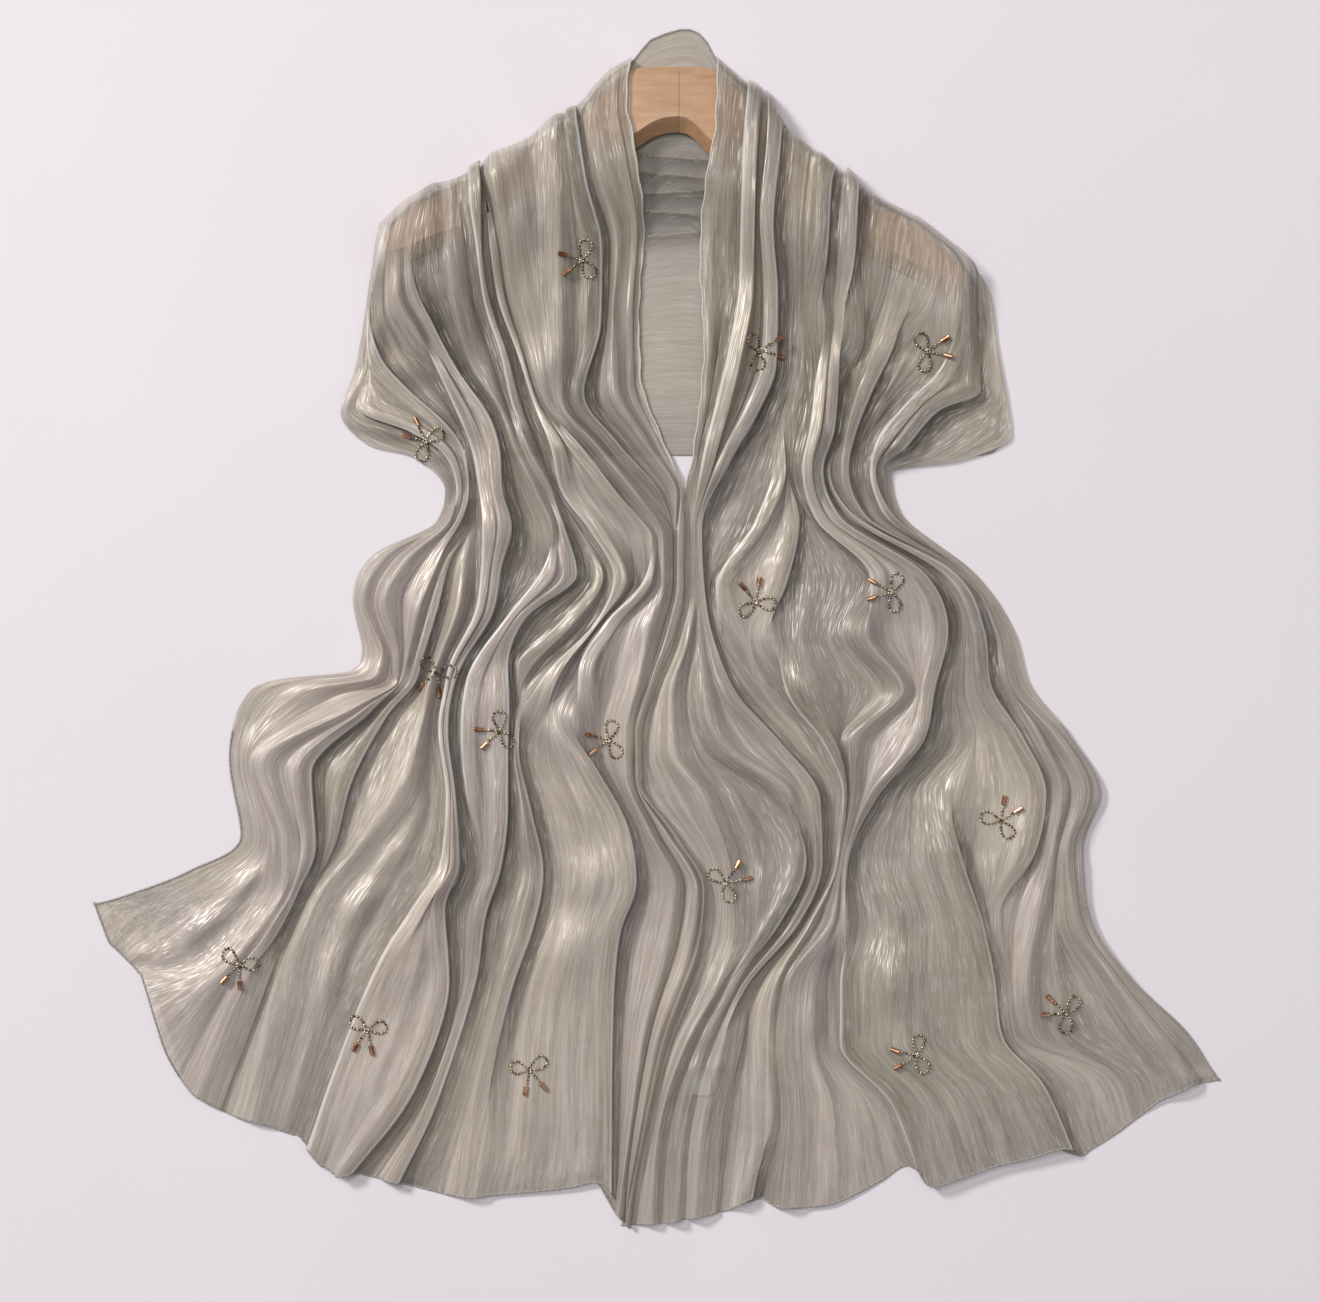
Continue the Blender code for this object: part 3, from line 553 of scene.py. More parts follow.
def fold_marks(at, place, side, height, tones_and_light, first_node):
    """Marks of each point: painted highlight at fold edges, painted shade beside them, gap tone and light.
    """
    lines = np.arange(side.shape[1])
    painted_highlight = np.zeros(place.shape)
    shade = np.zeros(place.shape)
    column = np.arange(place.shape[1])[None, :]
    for fold in range(len(side)):
        start = COLUMNS_A_NODE * (fold * NODES_A_GAP + len(MIDDLES) + 1 + first_node)
        for sign, edge, foot in ((1, start + COLUMNS_A_NODE, start + 3 * COLUMNS_A_NODE),
                                 (-1, start + 2 * COLUMNS_A_NODE, start)):
            strength = np.clip(sign * side[fold], 0, 1) * np.clip(height[fold] / EDGE_SHOWS, 0, 1)
            strength = np.interp(at, lines, strength)[:, None]
            # Painted highlight on the strap's side of the edge, painted shade beyond the fold's foot
            on_strap = sign * (column - edge) <= 0
            away = np.abs(place - place[:, edge:edge + 1])
            painted_highlight = np.maximum(painted_highlight, np.where(on_strap, strength * (1 - away / EDGE_HIGHLIGHT), 0))
            beyond = sign * (place - place[:, foot:foot + 1])
            hollow = np.where(on_strap, 0, np.exp(-np.clip(beyond, 0, None) / SHADE_REACH))
            shade = np.maximum(shade, strength * hollow)
    fading = (len(lines) - HEM_SHADE_FROM, len(lines) - HEM_SHADE_TO)
    shade *= np.interp(at, fading, (1.0, HEM_SHADE))[:, None]
    middle = len(MIDDLES) + 1 + (NODES_A_FOLD - 1) / 2 + first_node + NODES_A_GAP * np.arange(len(side))
    share = np.clip((column.T / COLUMNS_A_NODE - middle) / TONE_BLEND + 0.5, 0, 1)
    above, below = [tone[0] + share @ np.diff(tone) for tone in np.array(tones_and_light).T]
    low = np.interp(at, TONE_CHANGE, (0.0, 1.0))[:, None]
    return painted_highlight, shade, above + low * (below - above)


def grid_points(x, z, lines, creases):
    """The grid of a front's surface, from its nodes on the lines and its creases."""
    values = np.stack([x, on_lines(x, lines), z], axis=2)
    at = row_numbers(len(lines))
    rows = along_lines(values, at)
    x, y, fold = np.moveaxis(across_nodes(rows, COLUMNS_A_NODE), 2, 0)
    step = np.hypot(np.diff(x, axis=1), np.diff(fold, axis=1))
    place = np.hstack([np.zeros((len(x), 1)), np.cumsum(step, axis=1)])
    number = np.arange(len(x))
    for gap, start, end, first, last, height, half in creases:
        t = np.clip((at - first) / (last - first), 0.0, 1.0)
        share = start + (end - start) * t
        column = COLUMNS_A_NODE * (gap * NODES_A_GAP + share * (len(MIDDLES) + 1))
        low = np.floor(column).astype(int)
        centre = place[number, low] + (column - low) * (place[number, low + 1] - place[number, low])
        uneven = 1 + CREASE_UNEVEN * np.sin(CREASE_ALONG * at + CREASE_BESIDE * gap)
        swell = np.sin(math.pi * t) ** CREASE_SWELL * uneven
        away = (place - centre[:, None]) / (half * CREASE_WIDTH)
        fold = fold + CREASE_LIFT * height * swell[:, None] * np.exp(-away * away)
    return x, y, np.maximum(fold, 0.0), at, place


def ruffled(x, y, columns):
    """Gives a neck edge its small waves, which die out over the columns next to it."""
    edge_y = y[:, columns[0]]
    turn = edge_y * 2 * math.pi / RUFFLE
    waves = np.sin(turn) + SECOND_RUFFLE * np.sin(turn / SECOND_LENGTH)
    waves *= RUFFLE_OUT * smooth((NECK_EDGE_END + RUFFLE - edge_y) / RUFFLE)
    for step, column in enumerate(columns):
        x[:, column] += waves * (1 - step / len(columns))


def laid(x, y, fold):
    """The points of the grid in space: the folds stand off what the cloth rests on."""
    turn, reach = round_of_shoulder(x, y)
    outward = turn / reach
    upward = np.sqrt(1 - turn ** 2) / (OVER_HANGER - ON_BACK)
    size = np.hypot(outward, upward)
    rest = resting_height(x, y)
    fold = fold * (1 - LESS_ON_HANGER * rest / OVER_HANGER)
    return np.stack([x, y + fold * outward / size, rest + fold * upward / size], axis=2)


def cloth_lengths(points):
    """Mean lengths across and along the grid, which give every point its place on the flat cloth."""
    across = np.linalg.norm(np.diff(points, axis=1), axis=2).mean(axis=0)
    along = np.linalg.norm(np.diff(points, axis=0), axis=2).mean(axis=1)
    return np.concatenate([[0], np.cumsum(across)]), np.concatenate([[0], np.cumsum(along)])


def mesh_object(name, verts, faces, uvs=None):
    """An object from points in millimetres; uvs holds a place on the flat cloth for each vertex."""
    mesh = bpy.data.meshes.new(name)
    points = np.array(verts, float).reshape(-1, 3)
    points[:, 1] -= CENTRE_Y
    mesh.from_pydata((points * MM).tolist(), [], faces)
    if uvs is not None:
        layer = mesh.uv_layers.new(name="cloth")
        corners = np.zeros(len(mesh.loops), np.int32)
        mesh.loops.foreach_get("vertex_index", corners)
        layer.data.foreach_set("uv", (np.array(uvs)[corners] * MM).astype(np.float32).ravel())
    mesh.shade_smooth()
    made = bpy.data.objects.new(name, mesh)
    bpy.context.scene.collection.objects.link(made)
    return made


def see_through(points):
    """How much of the hanger or the label each point lets through, from 0 to 1."""
    shown = np.zeros(points.shape[:2])
    for x, y, radius in SHEER_SPOTS:
        away = np.hypot(points[:, :, 0] - x, points[:, :, 1] - y) / radius
        shown = np.maximum(shown, smooth((away - SHEER_FROM) / SHEER_FADE))
    return shown


def grid_object(name, points, marks, threads_across=False):
    """A sheet of quads that faces up, with its places on the flat cloth and its marks."""
    rows, columns = points.shape[:2]
    number = np.arange(rows * columns).reshape(rows, columns)
    faces = np.stack([number[1:, :-1], number[1:, 1:], number[:-1, 1:], number[:-1, :-1]], axis=2)
    across, along = cloth_lengths(points)
    uvs = np.stack(np.meshgrid(across, along), axis=2).reshape(-1, 2)
    if threads_across:
        uvs = uvs[:, ::-1]
    made = mesh_object(name, points.reshape(-1, 3), faces.reshape(-1, 4).tolist(), uvs)
    local = np.gradient(points, axis=1)
    stretch = np.linalg.norm(local, axis=2) / np.gradient(across)[None, :]
    marks = (*marks, see_through(points), stretch)
    for mark, values in zip(("fold_edge_highlight", "fold_shade", "fold_tone", "see_through", "stretch"), marks):
        layer = made.data.attributes.new(mark, "FLOAT", "POINT")
        layer.data.foreach_set("value", values.astype(np.float32).ravel())
    return made


def front_nodes(lines, folds):
    """A front's nodes on its lines as x and height, with the tables that they come from."""
    x, side, height, left, right = fold_tables(lines, folds)
    node_x, node_z = fold_nodes(x, side, height, left, right)
    return *with_middles(node_x, node_z, x[0], x[-1]), side, height, x, left


def left_nodes():
    """The left front, whose inner edge rolls over the right front from the neck down."""
    grid_x, grid_z, side, height, x, left = front_nodes(LEFT_LINES, LEFT_FOLDS)
    return *rolled_edge(grid_x, grid_z, x[-1], left[-1]), LEFT_LINES, side, height


def right_nodes(seam):
    """The right front, whose inner edge goes under the left front's from the neck down."""
    lines = [list(line) for line in RIGHT_LINES]
    for line in lines[UNDER_ROLL_FIRST_LINE:]:
        line[0] = (np.interp(line[0][1], seam[:, 1], seam[:, 0]) - UNDER_ROLL, line[0][1])
    for number, line in enumerate(lines):
        flat = EDGE_FLAT if number >= UNDER_ROLL_FIRST_LINE else NECK_EDGE_FLAT
        inside = line[0][0] + flat
        line.insert(1, (inside, np.interp(inside, *np.array(line).T)))
    edge = np.array([line[0][0] for line in lines])
    grid_x, grid_z, side, height = front_nodes([line[1:] for line in lines], RIGHT_FOLDS)[:4]
    grid_x = np.hstack([edge[:, None], grid_x])
    grid_z = np.hstack([np.zeros((len(edge), 1)), grid_z])
    grid_z[:, 2] = 0.0
    return grid_x, grid_z, lines, side, height


def front(nodes, creases, tones_and_light, first_node, edge_columns):
    """Points of a front in space and their marks, from its nodes on the lines that cross it."""
    x, z, lines, side, height = nodes
    x, y, fold, at, place = grid_points(x, z, lines, creases)
    marks = fold_marks(at, place, side, height, tones_and_light, first_node)
    ruffled(x, y, edge_columns)
    return laid(x, y, fold), marks


def back_grid():
    """Grid of points on the back stretch, flat but for the pleats that show in the neck."""
    x, low, high = np.array(BACK_COLUMNS, float).T
    rows, columns = BACK_GRID
    fine_x = np.linspace(x[0], x[-1], columns)
    fine_low = np.interp(fine_x, x, low)
    fine_high = np.interp(fine_x, x, high)
    share = np.linspace(1, 0, rows)[:, None]
    y = fine_low + share * (fine_high - fine_low)
    x = np.broadcast_to(fine_x, y.shape)
    start, end = BACK_PLEAT_SPAN
    inside = smooth((start - x) / PLEAT_FADE) * smooth((x - end) / PLEAT_FADE)
    fold, lap, painted_highlight, shade = np.zeros((4, *y.shape))
    for left_y, right_y, lift, half in BACK_PLEATS:
        centre = left_y + (right_y - left_y) * (x - start) / (end - start)
        away = (y - centre) / half
        # Each pleat gets a painted highlight along its edge and painted shade just below it
        crest, pleat_highlight, dark = [smooth(np.abs(away - at) / reach) * inside for at, reach in PLEAT_PARTS]
        fold += lift * crest
        painted_highlight = np.maximum(painted_highlight, PLEAT_HIGHLIGHT * pleat_highlight)
        shade = np.maximum(shade, dark)
        lap += half * PLEAT_LAP * np.sin(np.clip(away, -1, 1) * math.pi) * inside
    gain, edge, fade = PALER_BELOW
    tone = NECK_TONE + gain * smooth((y - edge) / fade)
    gain, edge, fade = PALER_ABOVE
    tone += gain * smooth((edge - y) / fade)
    return np.stack([x, y - lap, ON_SURFACE + fold], axis=2), (painted_highlight, shade, tone)


def path_lengths(path):
    """Length along a path of points, up to each of them."""
    return np.concatenate([[0], np.cumsum(np.linalg.norm(np.diff(path, axis=0), axis=1))])


def read_along(at, length, values):
    """The rows of values, read at the given lengths along their path."""
    return np.stack([np.interp(at, length, column) for column in values.T], axis=1)


def tube_faces(rings, sides):
    """The quads between rings of points that follow each other, and the faces that close the ends."""
    number = np.arange(rings * sides).reshape(rings, sides)
    after = np.roll(number, -1, axis=1)
    quads = np.stack([number[:-1], number[1:], after[1:], after[:-1]], axis=2).reshape(-1, 4)
    return quads, [number[0][::-1].tolist(), number[-1].tolist()]


def edge_strip(name, path, inward):
    """The overlocked edge: a flat ridged strip along a path of points."""
    length = path_lengths(path)
    at = np.linspace(0, length[-1], max(int(length[-1] / EDGE_STEP), 4))
    centre = read_along(at, length, path)
    side = read_along(at, length, inward)
    ahead = np.gradient(centre, axis=0)
    ahead /= np.linalg.norm(ahead, axis=1)[:, None]
    side -= (side * ahead).sum(axis=1)[:, None] * ahead
    side /= np.maximum(np.linalg.norm(side, axis=1), 1e-6)[:, None]
    up = np.cross(side, ahead)
    up *= np.where(up[:, 2:] < 0, -1.0, 1.0)
    stitch = 1 + STITCH_OUT * np.sin(2 * math.pi * at / STITCH)
    angle = np.arange(EDGE_SIDES) * 2 * math.pi / EDGE_SIDES
    flat = np.cos(angle)[None, :, None] * side[:, None] * (EDGE_HALF * stitch)[:, None, None]
    tall = np.sin(angle)[None, :, None] * up[:, None] * (EDGE_RISE * stitch)[:, None, None]
    points = centre[:, None] + side[:, None] * EDGE_INSET + flat + tall
    points[:, :, 2] = np.maximum(points[:, :, 2], EDGE_LOWEST)
    uvs = np.stack([np.repeat(at, EDGE_SIDES), np.tile(angle, len(at))], axis=1)
    return mesh_object(name, points, tube_faces(len(at), EDGE_SIDES)[0].tolist(), uvs)


def grid_edges(points, which, lowest, highest):
    """A grid's border as (path, direction into the cloth): a row, or a column between two values of y."""
    if which in ("top", "hem"):
        row, inner = (0, 2) if which == "top" else (-1, -3)
        return points[row], points[inner] - points[row]
    column, inner = (0, COLUMNS_A_NODE) if which == "first" else (-1, -1 - COLUMNS_A_NODE)
    shown = (points[:, column, 1] > lowest) & (points[:, column, 1] < highest)
    return points[shown, column], points[shown, inner] - points[shown, column]


def rounded(radius, count):
    """Points of a rounded corner, as distances from the two faces that meet there."""
    return [(radius * (1 - math.cos(turn)), radius * (1 - math.sin(turn)))
            for turn in np.linspace(0, math.pi / 2, count)]


def hanger_half(name, rows, start_gap):
    """Half of the hanger, lofted from rounded sections."""
    at = np.linspace(0, len(rows) - 1, (len(rows) - 1) * SECTIONS_A_ROW + 1)
    x, high, low = along_lines(np.array(rows, float), at).T
    x[0] += start_gap
    top = HANGER_BASE + HANGER_THICK
    verts = []
    for place, upper, lower in zip(x, high, low):
        ring = [(upper - across, top - down) for across, down in rounded(HANGER_ROUND, 6)]
        for share in HANGER_FACE:
            drop = HANGER_SLOPE * max(share - HANGER_LEVEL, 0.0) / (1 - HANGER_LEVEL)
            ring.append((lower + HANGER_UNDER * (1 - share), top - drop))
        ring += [(lower + across, HANGER_BASE + up) for across, up in rounded(UNDER_ROUND, 4)]
        ring += [(upper - across, HANGER_BASE + up) for up, across in rounded(UNDER_ROUND, 4)]
        verts.append([(place, y, z) for y, z in ring])
    quads, ends = tube_faces(len(verts), len(verts[0]))
    made = mesh_object(name, verts, quads[:, [0, 3, 2, 1]].tolist() + ends)
    made.data.set_sharp_from_angle(angle=SHARP)
    return made


def sphere_mesh():
    """Points and triangles of a small bead, made from an octahedron split twice."""
    points = [Vector(p) for p in ((1, 0, 0), (-1, 0, 0), (0, 1, 0), (0, -1, 0), (0, 0, 1), (0, 0, -1))]
    faces = [(0, 2, 4), (2, 1, 4), (1, 3, 4), (3, 0, 4), (2, 0, 5), (1, 2, 5), (3, 1, 5), (0, 3, 5)]
    for split in range(2):
        new_faces = []
        between = {}
        for face in faces:
            middles = []
            for a, b in zip(face, face[1:] + face[:1]):
                key = (min(a, b), max(a, b))
                if key not in between:
                    between[key] = len(points)
                    points.append((points[a] + points[b]).normalized())
                middles.append(between[key])
            a, b, c = face
            ab, bc, ca = middles
            new_faces += [(a, ab, ca), (ab, b, bc), (ca, bc, c), (ab, bc, ca)]
        faces = new_faces
    return np.array(points), faces


def tube_mesh():
    """Points and faces of a tube bead along X, one unit long and one in radius, with rounded ends."""
    verts = []
    for x, radius in TUBE_PROFILE:
        for side in range(TUBE_SIDES):
            turn = 2 * math.pi * side / TUBE_SIDES
            verts.append((x, radius * math.cos(turn), radius * math.sin(turn)))
    quads, ends = tube_faces(len(TUBE_PROFILE), TUBE_SIDES)
    return np.array(verts), quads.tolist() + ends


def spaced_along(path, step):
    """Points at equal steps along a path."""
    length = path_lengths(path)
    count = max(int(round(length[-1] / step)), 2)
    return read_along((np.arange(count) + 0.5) * length[-1] / count, length, path)


def turned(points, degrees):
    angle = math.radians(degrees)
    across = np.array([[math.cos(angle), -math.sin(angle)], [math.sin(angle), math.cos(angle)]])
    return np.array(points) @ across.T


def bow_places(tails):
    """Places of a bow's beads and tube beads about its knot, with the direction of each tube."""
    t = np.linspace(0, 1, 60)
    loop = np.stack([LOOP_LONG * np.sin(math.pi * t), -LOOP_WIDE / 2 * np.sin(2 * math.pi * t)], axis=1)
    beads = [np.array([[0.0, 0.0]])]
    tubes = []
    for sign in (1, -1):
        beads.append(turned(spaced_along(loop, BEAD_STEP), tails + 180 + sign * LOOP_TURN))
        direction = tails + sign * TAIL_TURN
        run = np.array([[TAIL_START + BEAD_STEP * number, 0.0] for number in range(TAIL_BEADS)])
        beads.append(turned(run, direction))
        middle = run[-1, 0] + BEAD_STEP / 2 + TUBE_LONG / 2 + TUBE_GAP
        tubes.append((turned([[middle, 0.0]], direction)[0], direction))
    return np.concatenate(beads), tubes


def seated(surfaces, x, y, lift):
    """A bead's centre, so far above the highest surface at x, y, and the surface's normal, or None."""
    start = Vector((x * MM, (y - CENTRE_Y) * MM, CAST_FROM))
    hits = [tree.ray_cast(start, Vector((0, 0, -1)))[:2] for tree in surfaces]
    hits = [hit for hit in hits if hit[0] is not None]
    if not hits:
        return None
    place, normal = max(hits, key=lambda hit: hit[0].z)
    if normal.z < 0:
        normal = -normal
    centre = np.array(place) / MM + np.array(normal) * lift
    centre[1] += CENTRE_Y
    return centre, normal


def copies(name, shape, faces, placed):
    """One object of a small shape's copies, each of which is given as its points."""
    joined = [[number * len(shape) + corner for corner in face]
              for number in range(len(placed)) for face in faces]
    return mesh_object(name, np.concatenate(placed), joined)


def add_bows(sheets):
    """The beads and the tube beads of all the bows, each as one mesh, seated on the cloth."""
    graph = bpy.context.evaluated_depsgraph_get()
    surfaces = [BVHTree.FromObject(sheet, graph) for sheet in sheets]
    ball, ball_faces = sphere_mesh()
    tube, faces = tube_mesh()
    all_beads = []
    all_tubes = []
    for x, y, tails in BOWS:
        beads, tubes = bow_places(tails)
        for offset in beads:
            seat = seated(surfaces, x + offset[0], y + offset[1], BEAD * BEAD_STANDS)
            if seat is not None:
                all_beads.append(ball * BEAD + seat[0])
        for offset, direction in tubes:
            seat = seated(surfaces, x + offset[0], y + offset[1], TUBE_RADIUS * TUBE_STANDS)
            if seat is None:
                continue
            centre, normal = seat
            along = Vector((math.cos(math.radians(direction)), math.sin(math.radians(direction)), 0))
            along = (along - normal * along.dot(normal)).normalized()
            turn = np.array([along, normal.cross(along), normal])
            all_tubes.append(tube * (TUBE_LONG, TUBE_RADIUS, TUBE_RADIUS) @ turn + centre)
    beads = copies("bow_beads", ball, ball_faces, all_beads)
    tubes = copies("bow_tubes", tube, faces, all_tubes)
    tubes.data.set_sharp_from_angle(angle=SHARP)
    return beads, tubes


class Nodes:
    """Short calls that add linked nodes to a new material."""

    def __init__(self, name):
        self.material = bpy.data.materials.new(name)
        self.material.use_nodes = True
        self.tree = self.material.node_tree
        self.shader = self.tree.nodes["Principled BSDF"]

    def add(self, kind, values=None, **links):
        node = self.tree.nodes.new(kind)
        for key, value in (values or {}).items():
            if isinstance(key, str) and hasattr(node, key):
                setattr(node, key, value)
            else:
                node.inputs[key].default_value = value
        for key, source in links.items():
            self.link(source, node.inputs[key.replace("_", " ")])
        return node

    def link(self, source, target):
        self.tree.links.new(source, target)

    def surface(self, **inputs):
        """Sets the shader's inputs to plain values or to what other nodes give, and gives the material."""
        for key, value in inputs.items():
            target = self.shader.inputs[key.replace("_", " ")]
            if isinstance(value, (float, tuple)):
                target.default_value = value
            else:
                self.link(value, target)
        return self.material

    def flat_place(self):
        return self.add("ShaderNodeUVMap", {"uv_map": "cloth"}).outputs["UV"]

    def object_place(self):
        return self.add("ShaderNodeTexCoord").outputs["Object"]

    def mark(self, name):
        return self.add("ShaderNodeAttribute", {"attribute_name": name}).outputs["Fac"]

    def scaled(self, value, factor, offset):
        node = self.add("ShaderNodeMath", {"operation": "MULTIPLY_ADD", 1: factor, 2: offset})
        self.link(value, node.inputs[0])
        return node.outputs[0]

    def noise(self, vector, scale, detail, stretch=(1.0, 1.0, 1.0)):
        mapped = self.add("ShaderNodeMapping", {"Scale": stretch}, Vector=vector)
        made = self.add("ShaderNodeTexNoise", {"Scale": scale, "Detail": detail, "Roughness": 0.6},
                        Vector=mapped.outputs["Vector"])
        return made.outputs["Fac"]

    def ramp(self, fac, *stops):
        node = self.add("ShaderNodeValToRGB", Fac=fac)
        ramp = node.color_ramp
        while len(ramp.elements) < len(stops):
            ramp.elements.new(0.5)
        for element, (place, colour) in zip(ramp.elements, stops):
            element.position = place
            element.color = (*colour, 1.0) if isinstance(colour, tuple) else (colour, colour, colour, 1.0)
        return node.outputs["Color"]

    def mix(self, fac, a, b, blend="MIX"):
        node = self.add("ShaderNodeMix", {"data_type": "RGBA", "blend_type": blend})
        for value, socket in ((fac, node.inputs[0]), (a, node.inputs[6]), (b, node.inputs[7])):
            if isinstance(value, tuple):
                socket.default_value = (*value, 1.0)
            elif isinstance(value, float):
                socket.default_value = value
            else:
                self.link(value, socket)
        return node.outputs[2]

    def bump(self, height, strength, distance, normal=None):
        node = self.add("ShaderNodeBump", {"Strength": strength, "Distance": distance}, Height=height)
        if normal is not None:
            self.link(normal, node.inputs["Normal"])
        return node.outputs["Normal"]


def organza(name, dark, body, light, alpha, sparkle):
    """Sheer satin organza: long bright threads along the cloth, fine glints and soft patches."""
    n = Nodes(name)
    place = n.flat_place()
    soft_waves = n.noise(place, 1.0, 1.0, (60.0, 6.0, 1.0))
    long_streaks = n.noise(place, 1.0, 2.0, (300.0, 7.0, 1.0))
    fine_streaks = n.noise(place, 1.0, 1.0, (900.0, 22.0, 1.0))
    patches = n.noise(place, 1.0, 1.0, (12.0, 6.0, 1.0))
    wide_glints = n.noise(place, 1.0, 1.0, (1450.0, 48.0, 1.0))
    close_glints = n.noise(place, 1.0, 1.0, (3200.0, 60.0, 1.0))
    stretched = n.ramp(n.scaled(n.mark("stretch"), 0.4, 0.0), (0.5, 0.0), (0.75, 1.0))
    glints = n.mix(stretched, wide_glints, close_glints)
    colour = n.ramp(n.mix(0.45, long_streaks, fine_streaks), (0.37, dark), (0.5, body), (0.63, light))
    tint = n.ramp(patches, (0.35, (0.84, 0.835, 0.85)), (0.65, (1.04, 1.02, 0.97)))
    # Gap tone: partly the cloth's layers, partly painted light on straps and painted shade in hollows
    tone = n.ramp(n.scaled(n.mark("fold_tone"), 0.5, 0.5),
                  (0.0, (0.60, 0.59, 0.55)), (0.5, (0.92, 0.905, 0.87)), (1.0, (1.12, 1.07, 1.10)))
    # Painted shade beside the folds
    shade = n.ramp(n.mark("fold_shade"), (0.0, (1.0, 1.0, 1.0)), (1.0, (0.56, 0.54, 0.51)))
    for change in (tint, tone, shade):
        colour = n.mix(1.0, colour, change, "MULTIPLY")
    # Painted glints: the colour is lightened where the glint noise is high; the same noise also sets
    # roughness, metal and bumps
    colour = n.mix(n.ramp(glints, (0.55, 0.0), (0.66, 0.5 * sparkle)), colour, (0.90, 0.87, 0.81))
    # Painted highlight: a pale line along each fold's edge
    colour = n.mix(n.ramp(n.mark("fold_edge_highlight"), (0.35, 0.0), (0.7, 0.75)), colour, (0.92, 0.89, 0.86))
    normal = n.bump(soft_waves, 0.4 * sparkle, 0.005)
    normal = n.bump(long_streaks, 0.15 * sparkle, 0.001, normal)
    normal = n.bump(glints, 0.6 * sparkle, 0.0004, normal)
    tangent = n.add("ShaderNodeTangent", {"direction_type": "UV_MAP", "uv_map": "cloth"})
    return n.surface(Base_Color=colour, Roughness=n.ramp(glints, (0.42, 0.62), (0.62, 0.43)),
                     Metallic=n.ramp(glints, (0.45, 0.12), (0.64, 0.12 + 0.4 * sparkle)),
                     Normal=normal, Tangent=tangent.outputs["Tangent"], Anisotropic=0.4,
                     Sheen_Weight=0.3, Sheen_Roughness=0.35, Sheen_Tint=(1.0, 0.95, 0.90, 1.0),
                     Alpha=n.ramp(n.mark("see_through"), (0.0, alpha), (1.0, alpha - SHEER)))


def overlock(name, dark, light):
    """Thread of the overlocked edge, with slanting loops."""
    n = Nodes(name)
    place = n.flat_place()
    loops = n.add("ShaderNodeTexWave", {"Scale": 130.0, "bands_direction": "DIAGONAL", "Distortion": 1.5},
                  Vector=place).outputs["Fac"]
    wear = n.noise(place, 60.0, 3.0)
    colour = n.mix(0.4, n.ramp(loops, (0.2, dark), (0.8, light)), n.ramp(wear, (0.3, dark), (0.7, light)))
    return n.surface(Base_Color=colour, Normal=n.bump(loops, 0.4, 0.0003), Roughness=0.6,
                     Sheen_Weight=0.2)


def beech(name):
    """Pale lacquered beech, with its grain along the arm and short flecks."""
    n = Nodes(name)
    place = n.object_place()
    grain = n.noise(place, 1.0, 5.0, (26.0, 160.0, 160.0))
    flecks = n.noise(place, 1.0, 2.0, (240.0, 1500.0, 900.0))
    blush = n.noise(place, 9.0, 1.0)
    colour = n.ramp(grain, (0.3, (0.37, 0.20, 0.095)), (0.55, (0.47, 0.275, 0.145)),
                    (0.75, (0.54, 0.33, 0.185)))
    colour = n.mix(n.ramp(flecks, (0.55, 0.0), (0.75, 0.5)), colour, (0.42, 0.22, 0.11))
    colour = n.mix(n.ramp(blush, (0.4, 0.0), (0.7, 0.35)), colour, (0.60, 0.32, 0.16))
    return n.surface(Base_Color=colour, Roughness=n.ramp(grain, (0.3, 0.48), (0.7, 0.36)),
                     Normal=n.bump(grain, 0.12, 0.0004), Coat_Weight=0.25, Coat_Roughness=0.25)


def bead_metal(name, dark, light, scale, roughness):
    """Metal beads whose colour changes from one to the next."""
    n = Nodes(name)
    place = n.object_place()
    change = n.noise(place, scale, 1.0)
    marks = n.noise(place, scale * 6, 3.0)
    return n.surface(Base_Color=n.ramp(change, (0.38, dark), (0.62, light)), Metallic=0.9,
                     Roughness=n.ramp(marks, (0.3, roughness), (0.7, roughness + 0.15)),
                     Normal=n.bump(marks, 0.15, 0.0002))


def label_tape(name):
    """Bare satin tape with a fine cross weave."""
    n = Nodes(name)
    place = n.object_place()
    ribs = n.add("ShaderNodeTexWave", {"Scale": 700.0, "bands_direction": "Y"}, Vector=place).outputs["Fac"]
    cloud = n.noise(place, 300.0, 3.0, (1.0, 3.0, 1.0))
    return n.surface(Base_Color=n.ramp(cloud, (0.3, (0.78, 0.78, 0.76)), (0.7, (0.90, 0.90, 0.88))),
                     Normal=n.bump(ribs, 0.3, 0.0002), Roughness=0.55, Sheen_Weight=0.2)


def floor_paint(name):
    """Plain pale floor, a little lilac, with the faintest mottle."""
    n = Nodes(name)
    cloud = n.noise(n.object_place(), 2.0, 3.0)
    return n.surface(Base_Color=n.ramp(cloud, (0.3, (0.775, 0.73, 0.77)), (0.7, (0.80, 0.755, 0.79))),
                     Roughness=0.9, Specular_IOR_Level=0.1)


def give(obj, material):
    obj.data.materials.clear()
    obj.data.materials.append(material)


def add_light(name, place, size, power, colour):
    """A round soft light that faces the origin."""
    light = bpy.data.lights.new(name, "AREA")
    light.shape = "DISK"
    light.size = size
    light.energy = power
    light.color = colour
    made = bpy.data.objects.new(name, light)
    made.location = place
    made.rotation_mode = "QUATERNION"
    made.rotation_quaternion = (-made.location).to_track_quat("-Z", "Y")
    bpy.context.scene.collection.objects.link(made)


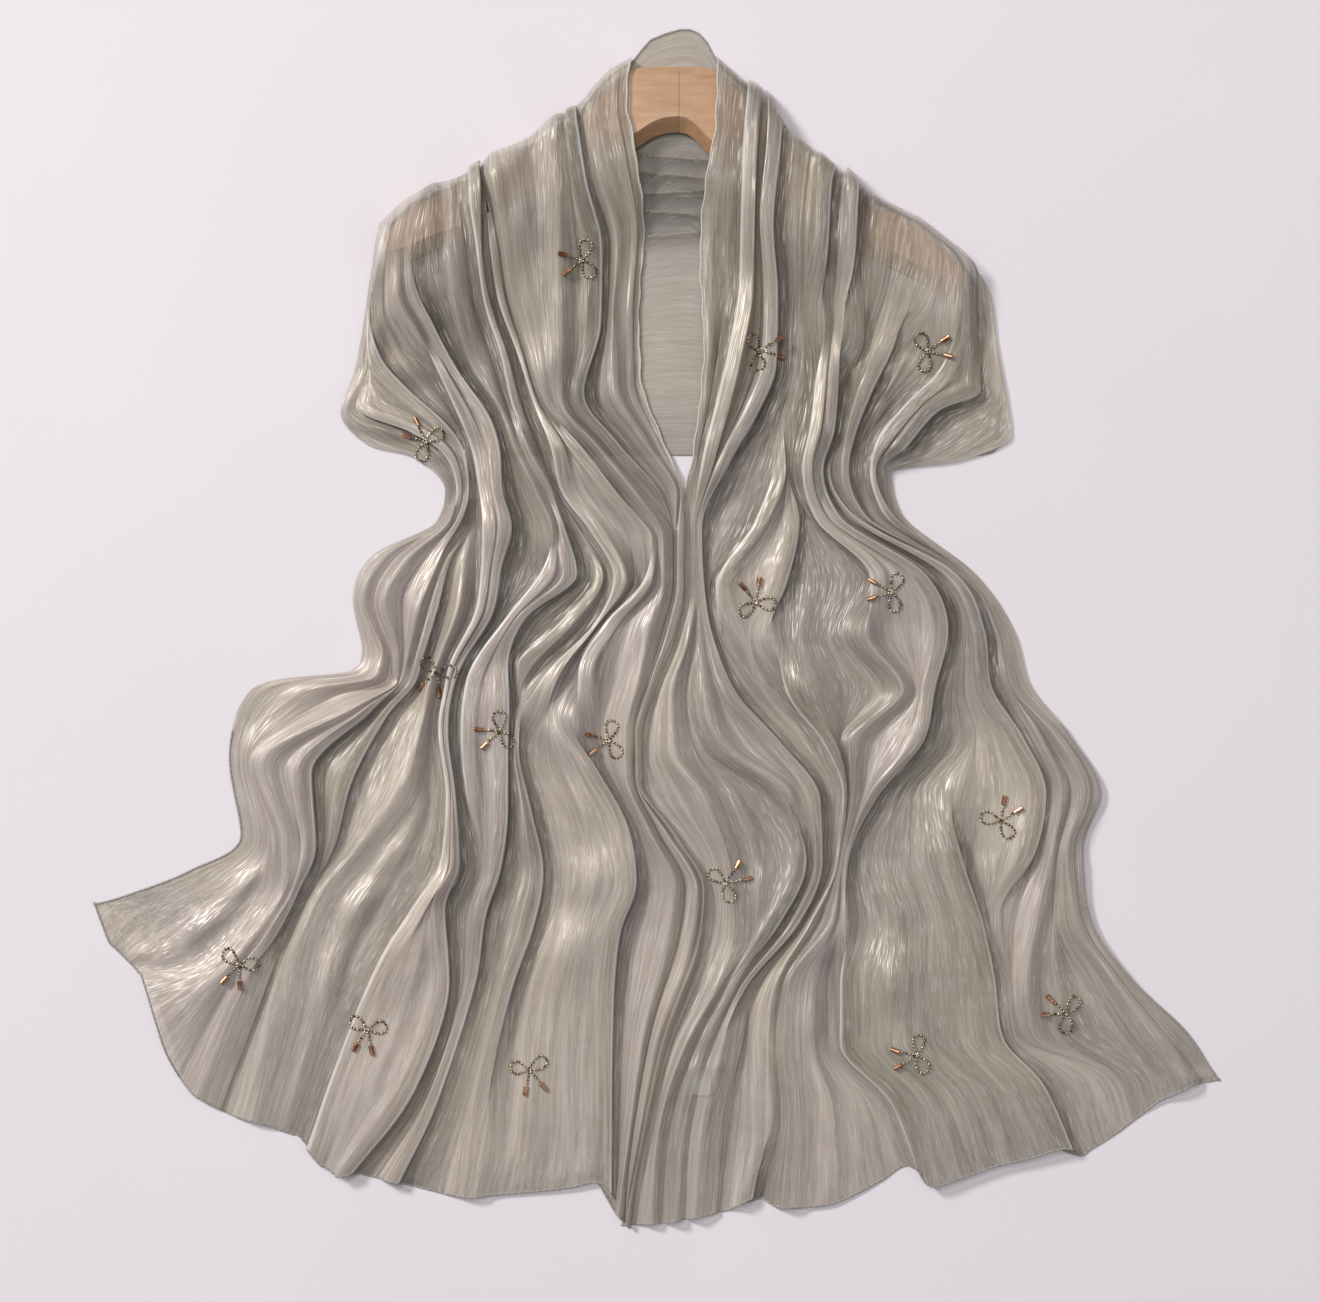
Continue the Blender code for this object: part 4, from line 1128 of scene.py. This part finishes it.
def set_studio():
    camera_data = bpy.data.cameras.new("camera")
    camera_data.lens = LENS
    camera_data.sensor_width = SENSOR
    camera = bpy.data.objects.new("camera", camera_data)
    camera.location = (VIEW_X * MM, VIEW_Y * MM, VIEW_WIDTH * MM * LENS / SENSOR)
    bpy.context.scene.collection.objects.link(camera)
    bpy.context.scene.camera = camera
    corners = [(x * FLOOR_HALF, y * FLOOR_HALF, FLOOR_Z) for x, y in ((-1, -1), (1, -1), (1, 1), (-1, 1))]
    floor = mesh_object("floor", corners, [(0, 1, 2, 3)])
    give(floor, floor_paint("floor_paint"))
    for light in LIGHTS:
        add_light(*light)
    world = bpy.context.scene.world or bpy.data.worlds.new("world")
    bpy.context.scene.world = world
    world.use_nodes = True
    background = world.node_tree.nodes["Background"]
    background.inputs["Color"].default_value = (0.96, 0.95, 1.0, 1.0)
    background.inputs["Strength"].default_value = 0.22
    bpy.context.scene.view_settings.view_transform = "Standard"


def build():
    set_studio()
    front_cloth = organza("organza_front", (0.37, 0.33, 0.28), (0.48, 0.43, 0.37), (0.62, 0.565, 0.495),
                          alpha=0.76, sparkle=1.0)
    back_cloth = organza("organza_back", (0.41, 0.37, 0.31), (0.46, 0.42, 0.355), (0.52, 0.48, 0.41),
                         alpha=0.66, sparkle=0.2)
    hem_thread = overlock("hem_thread", (0.24, 0.222, 0.195), (0.37, 0.35, 0.31))
    neck_thread = overlock("neck_thread", (0.47, 0.45, 0.405), (0.53, 0.505, 0.46))
    wood = beech("beech_lacquered")

    left, left_marks = front(left_nodes(), LEFT_CREASES, LEFT_TONES_AND_LIGHT, first_node=0,
                             edge_columns=range(-1, -1 - RUFFLE_COLUMNS, -1))
    seam = left[::-1, -1]
    right, right_marks = front(right_nodes(seam), RIGHT_CREASES, RIGHT_TONES_AND_LIGHT, first_node=1,
                               edge_columns=range(RUFFLE_COLUMNS))
    back, back_marks = back_grid()

    sheets = {}
    for name, points, marks, look in (("left_cloth", left, left_marks, front_cloth),
                                      ("right_cloth", right, right_marks, front_cloth),
                                      ("back_cloth", back, back_marks, back_cloth)):
        sheets[name] = grid_object(name, points, marks, name == "back_cloth")
        give(sheets[name], look)
    edges = {name: [] for name in sheets}
    neck = (NECK_EDGE_END, FAR, neck_thread)
    outer = (-FAR, OUTER_EDGE_TOP, hem_thread)
    whole = (-FAR, FAR, hem_thread)
    for name, points, which, (low, high, thread) in (
            ("left_neck_edge", left, "last", neck), ("left_outer_edge", left, "first", outer),
            ("left_hem_edge", left, "hem", whole), ("right_neck_edge", right, "first", neck),
            ("right_outer_edge", right, "last", outer), ("right_hem_edge", right, "hem", whole),
            ("back_top_edge", back, "top", whole), ("back_hem_edge", back, "hem", whole)):
        edge = edge_strip(name, *grid_edges(points, which, low, high))
        give(edge, thread)
        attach(edge, "root")
        edges[name.split("_")[0] + "_cloth"].append(edge)

    for name, rows, gap in (("hanger_left", HANGER_LEFT, 0.0), ("hanger_right", HANGER_RIGHT, JOINT_GAP)):
        half = hanger_half(name + "_wood", rows, gap)
        give(half, wood)
        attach(half, "root")
        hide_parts(name)

    beads, tubes = add_bows([sheets["left_cloth"], sheets["right_cloth"]])
    give(beads, bead_metal("bronze_beads", (0.10, 0.08, 0.05), (0.72, 0.62, 0.46), 330.0, 0.2))
    give(tubes, bead_metal("copper_tubes", (0.30, 0.12, 0.06), (0.78, 0.48, 0.30), 90.0, 0.2))
    for piece in (beads, tubes):
        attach(piece, "root")

    tape = label_tape("satin_tape")
    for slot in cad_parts["care_label"].material_slots:
        slot.material = tape

    nodes = {"left_cloth": "left_front", "right_cloth": "right_front", "back_cloth": "back_stretch"}
    for name, sheet in sheets.items():
        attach(sheet, "root")
        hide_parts(nodes[name])


build()
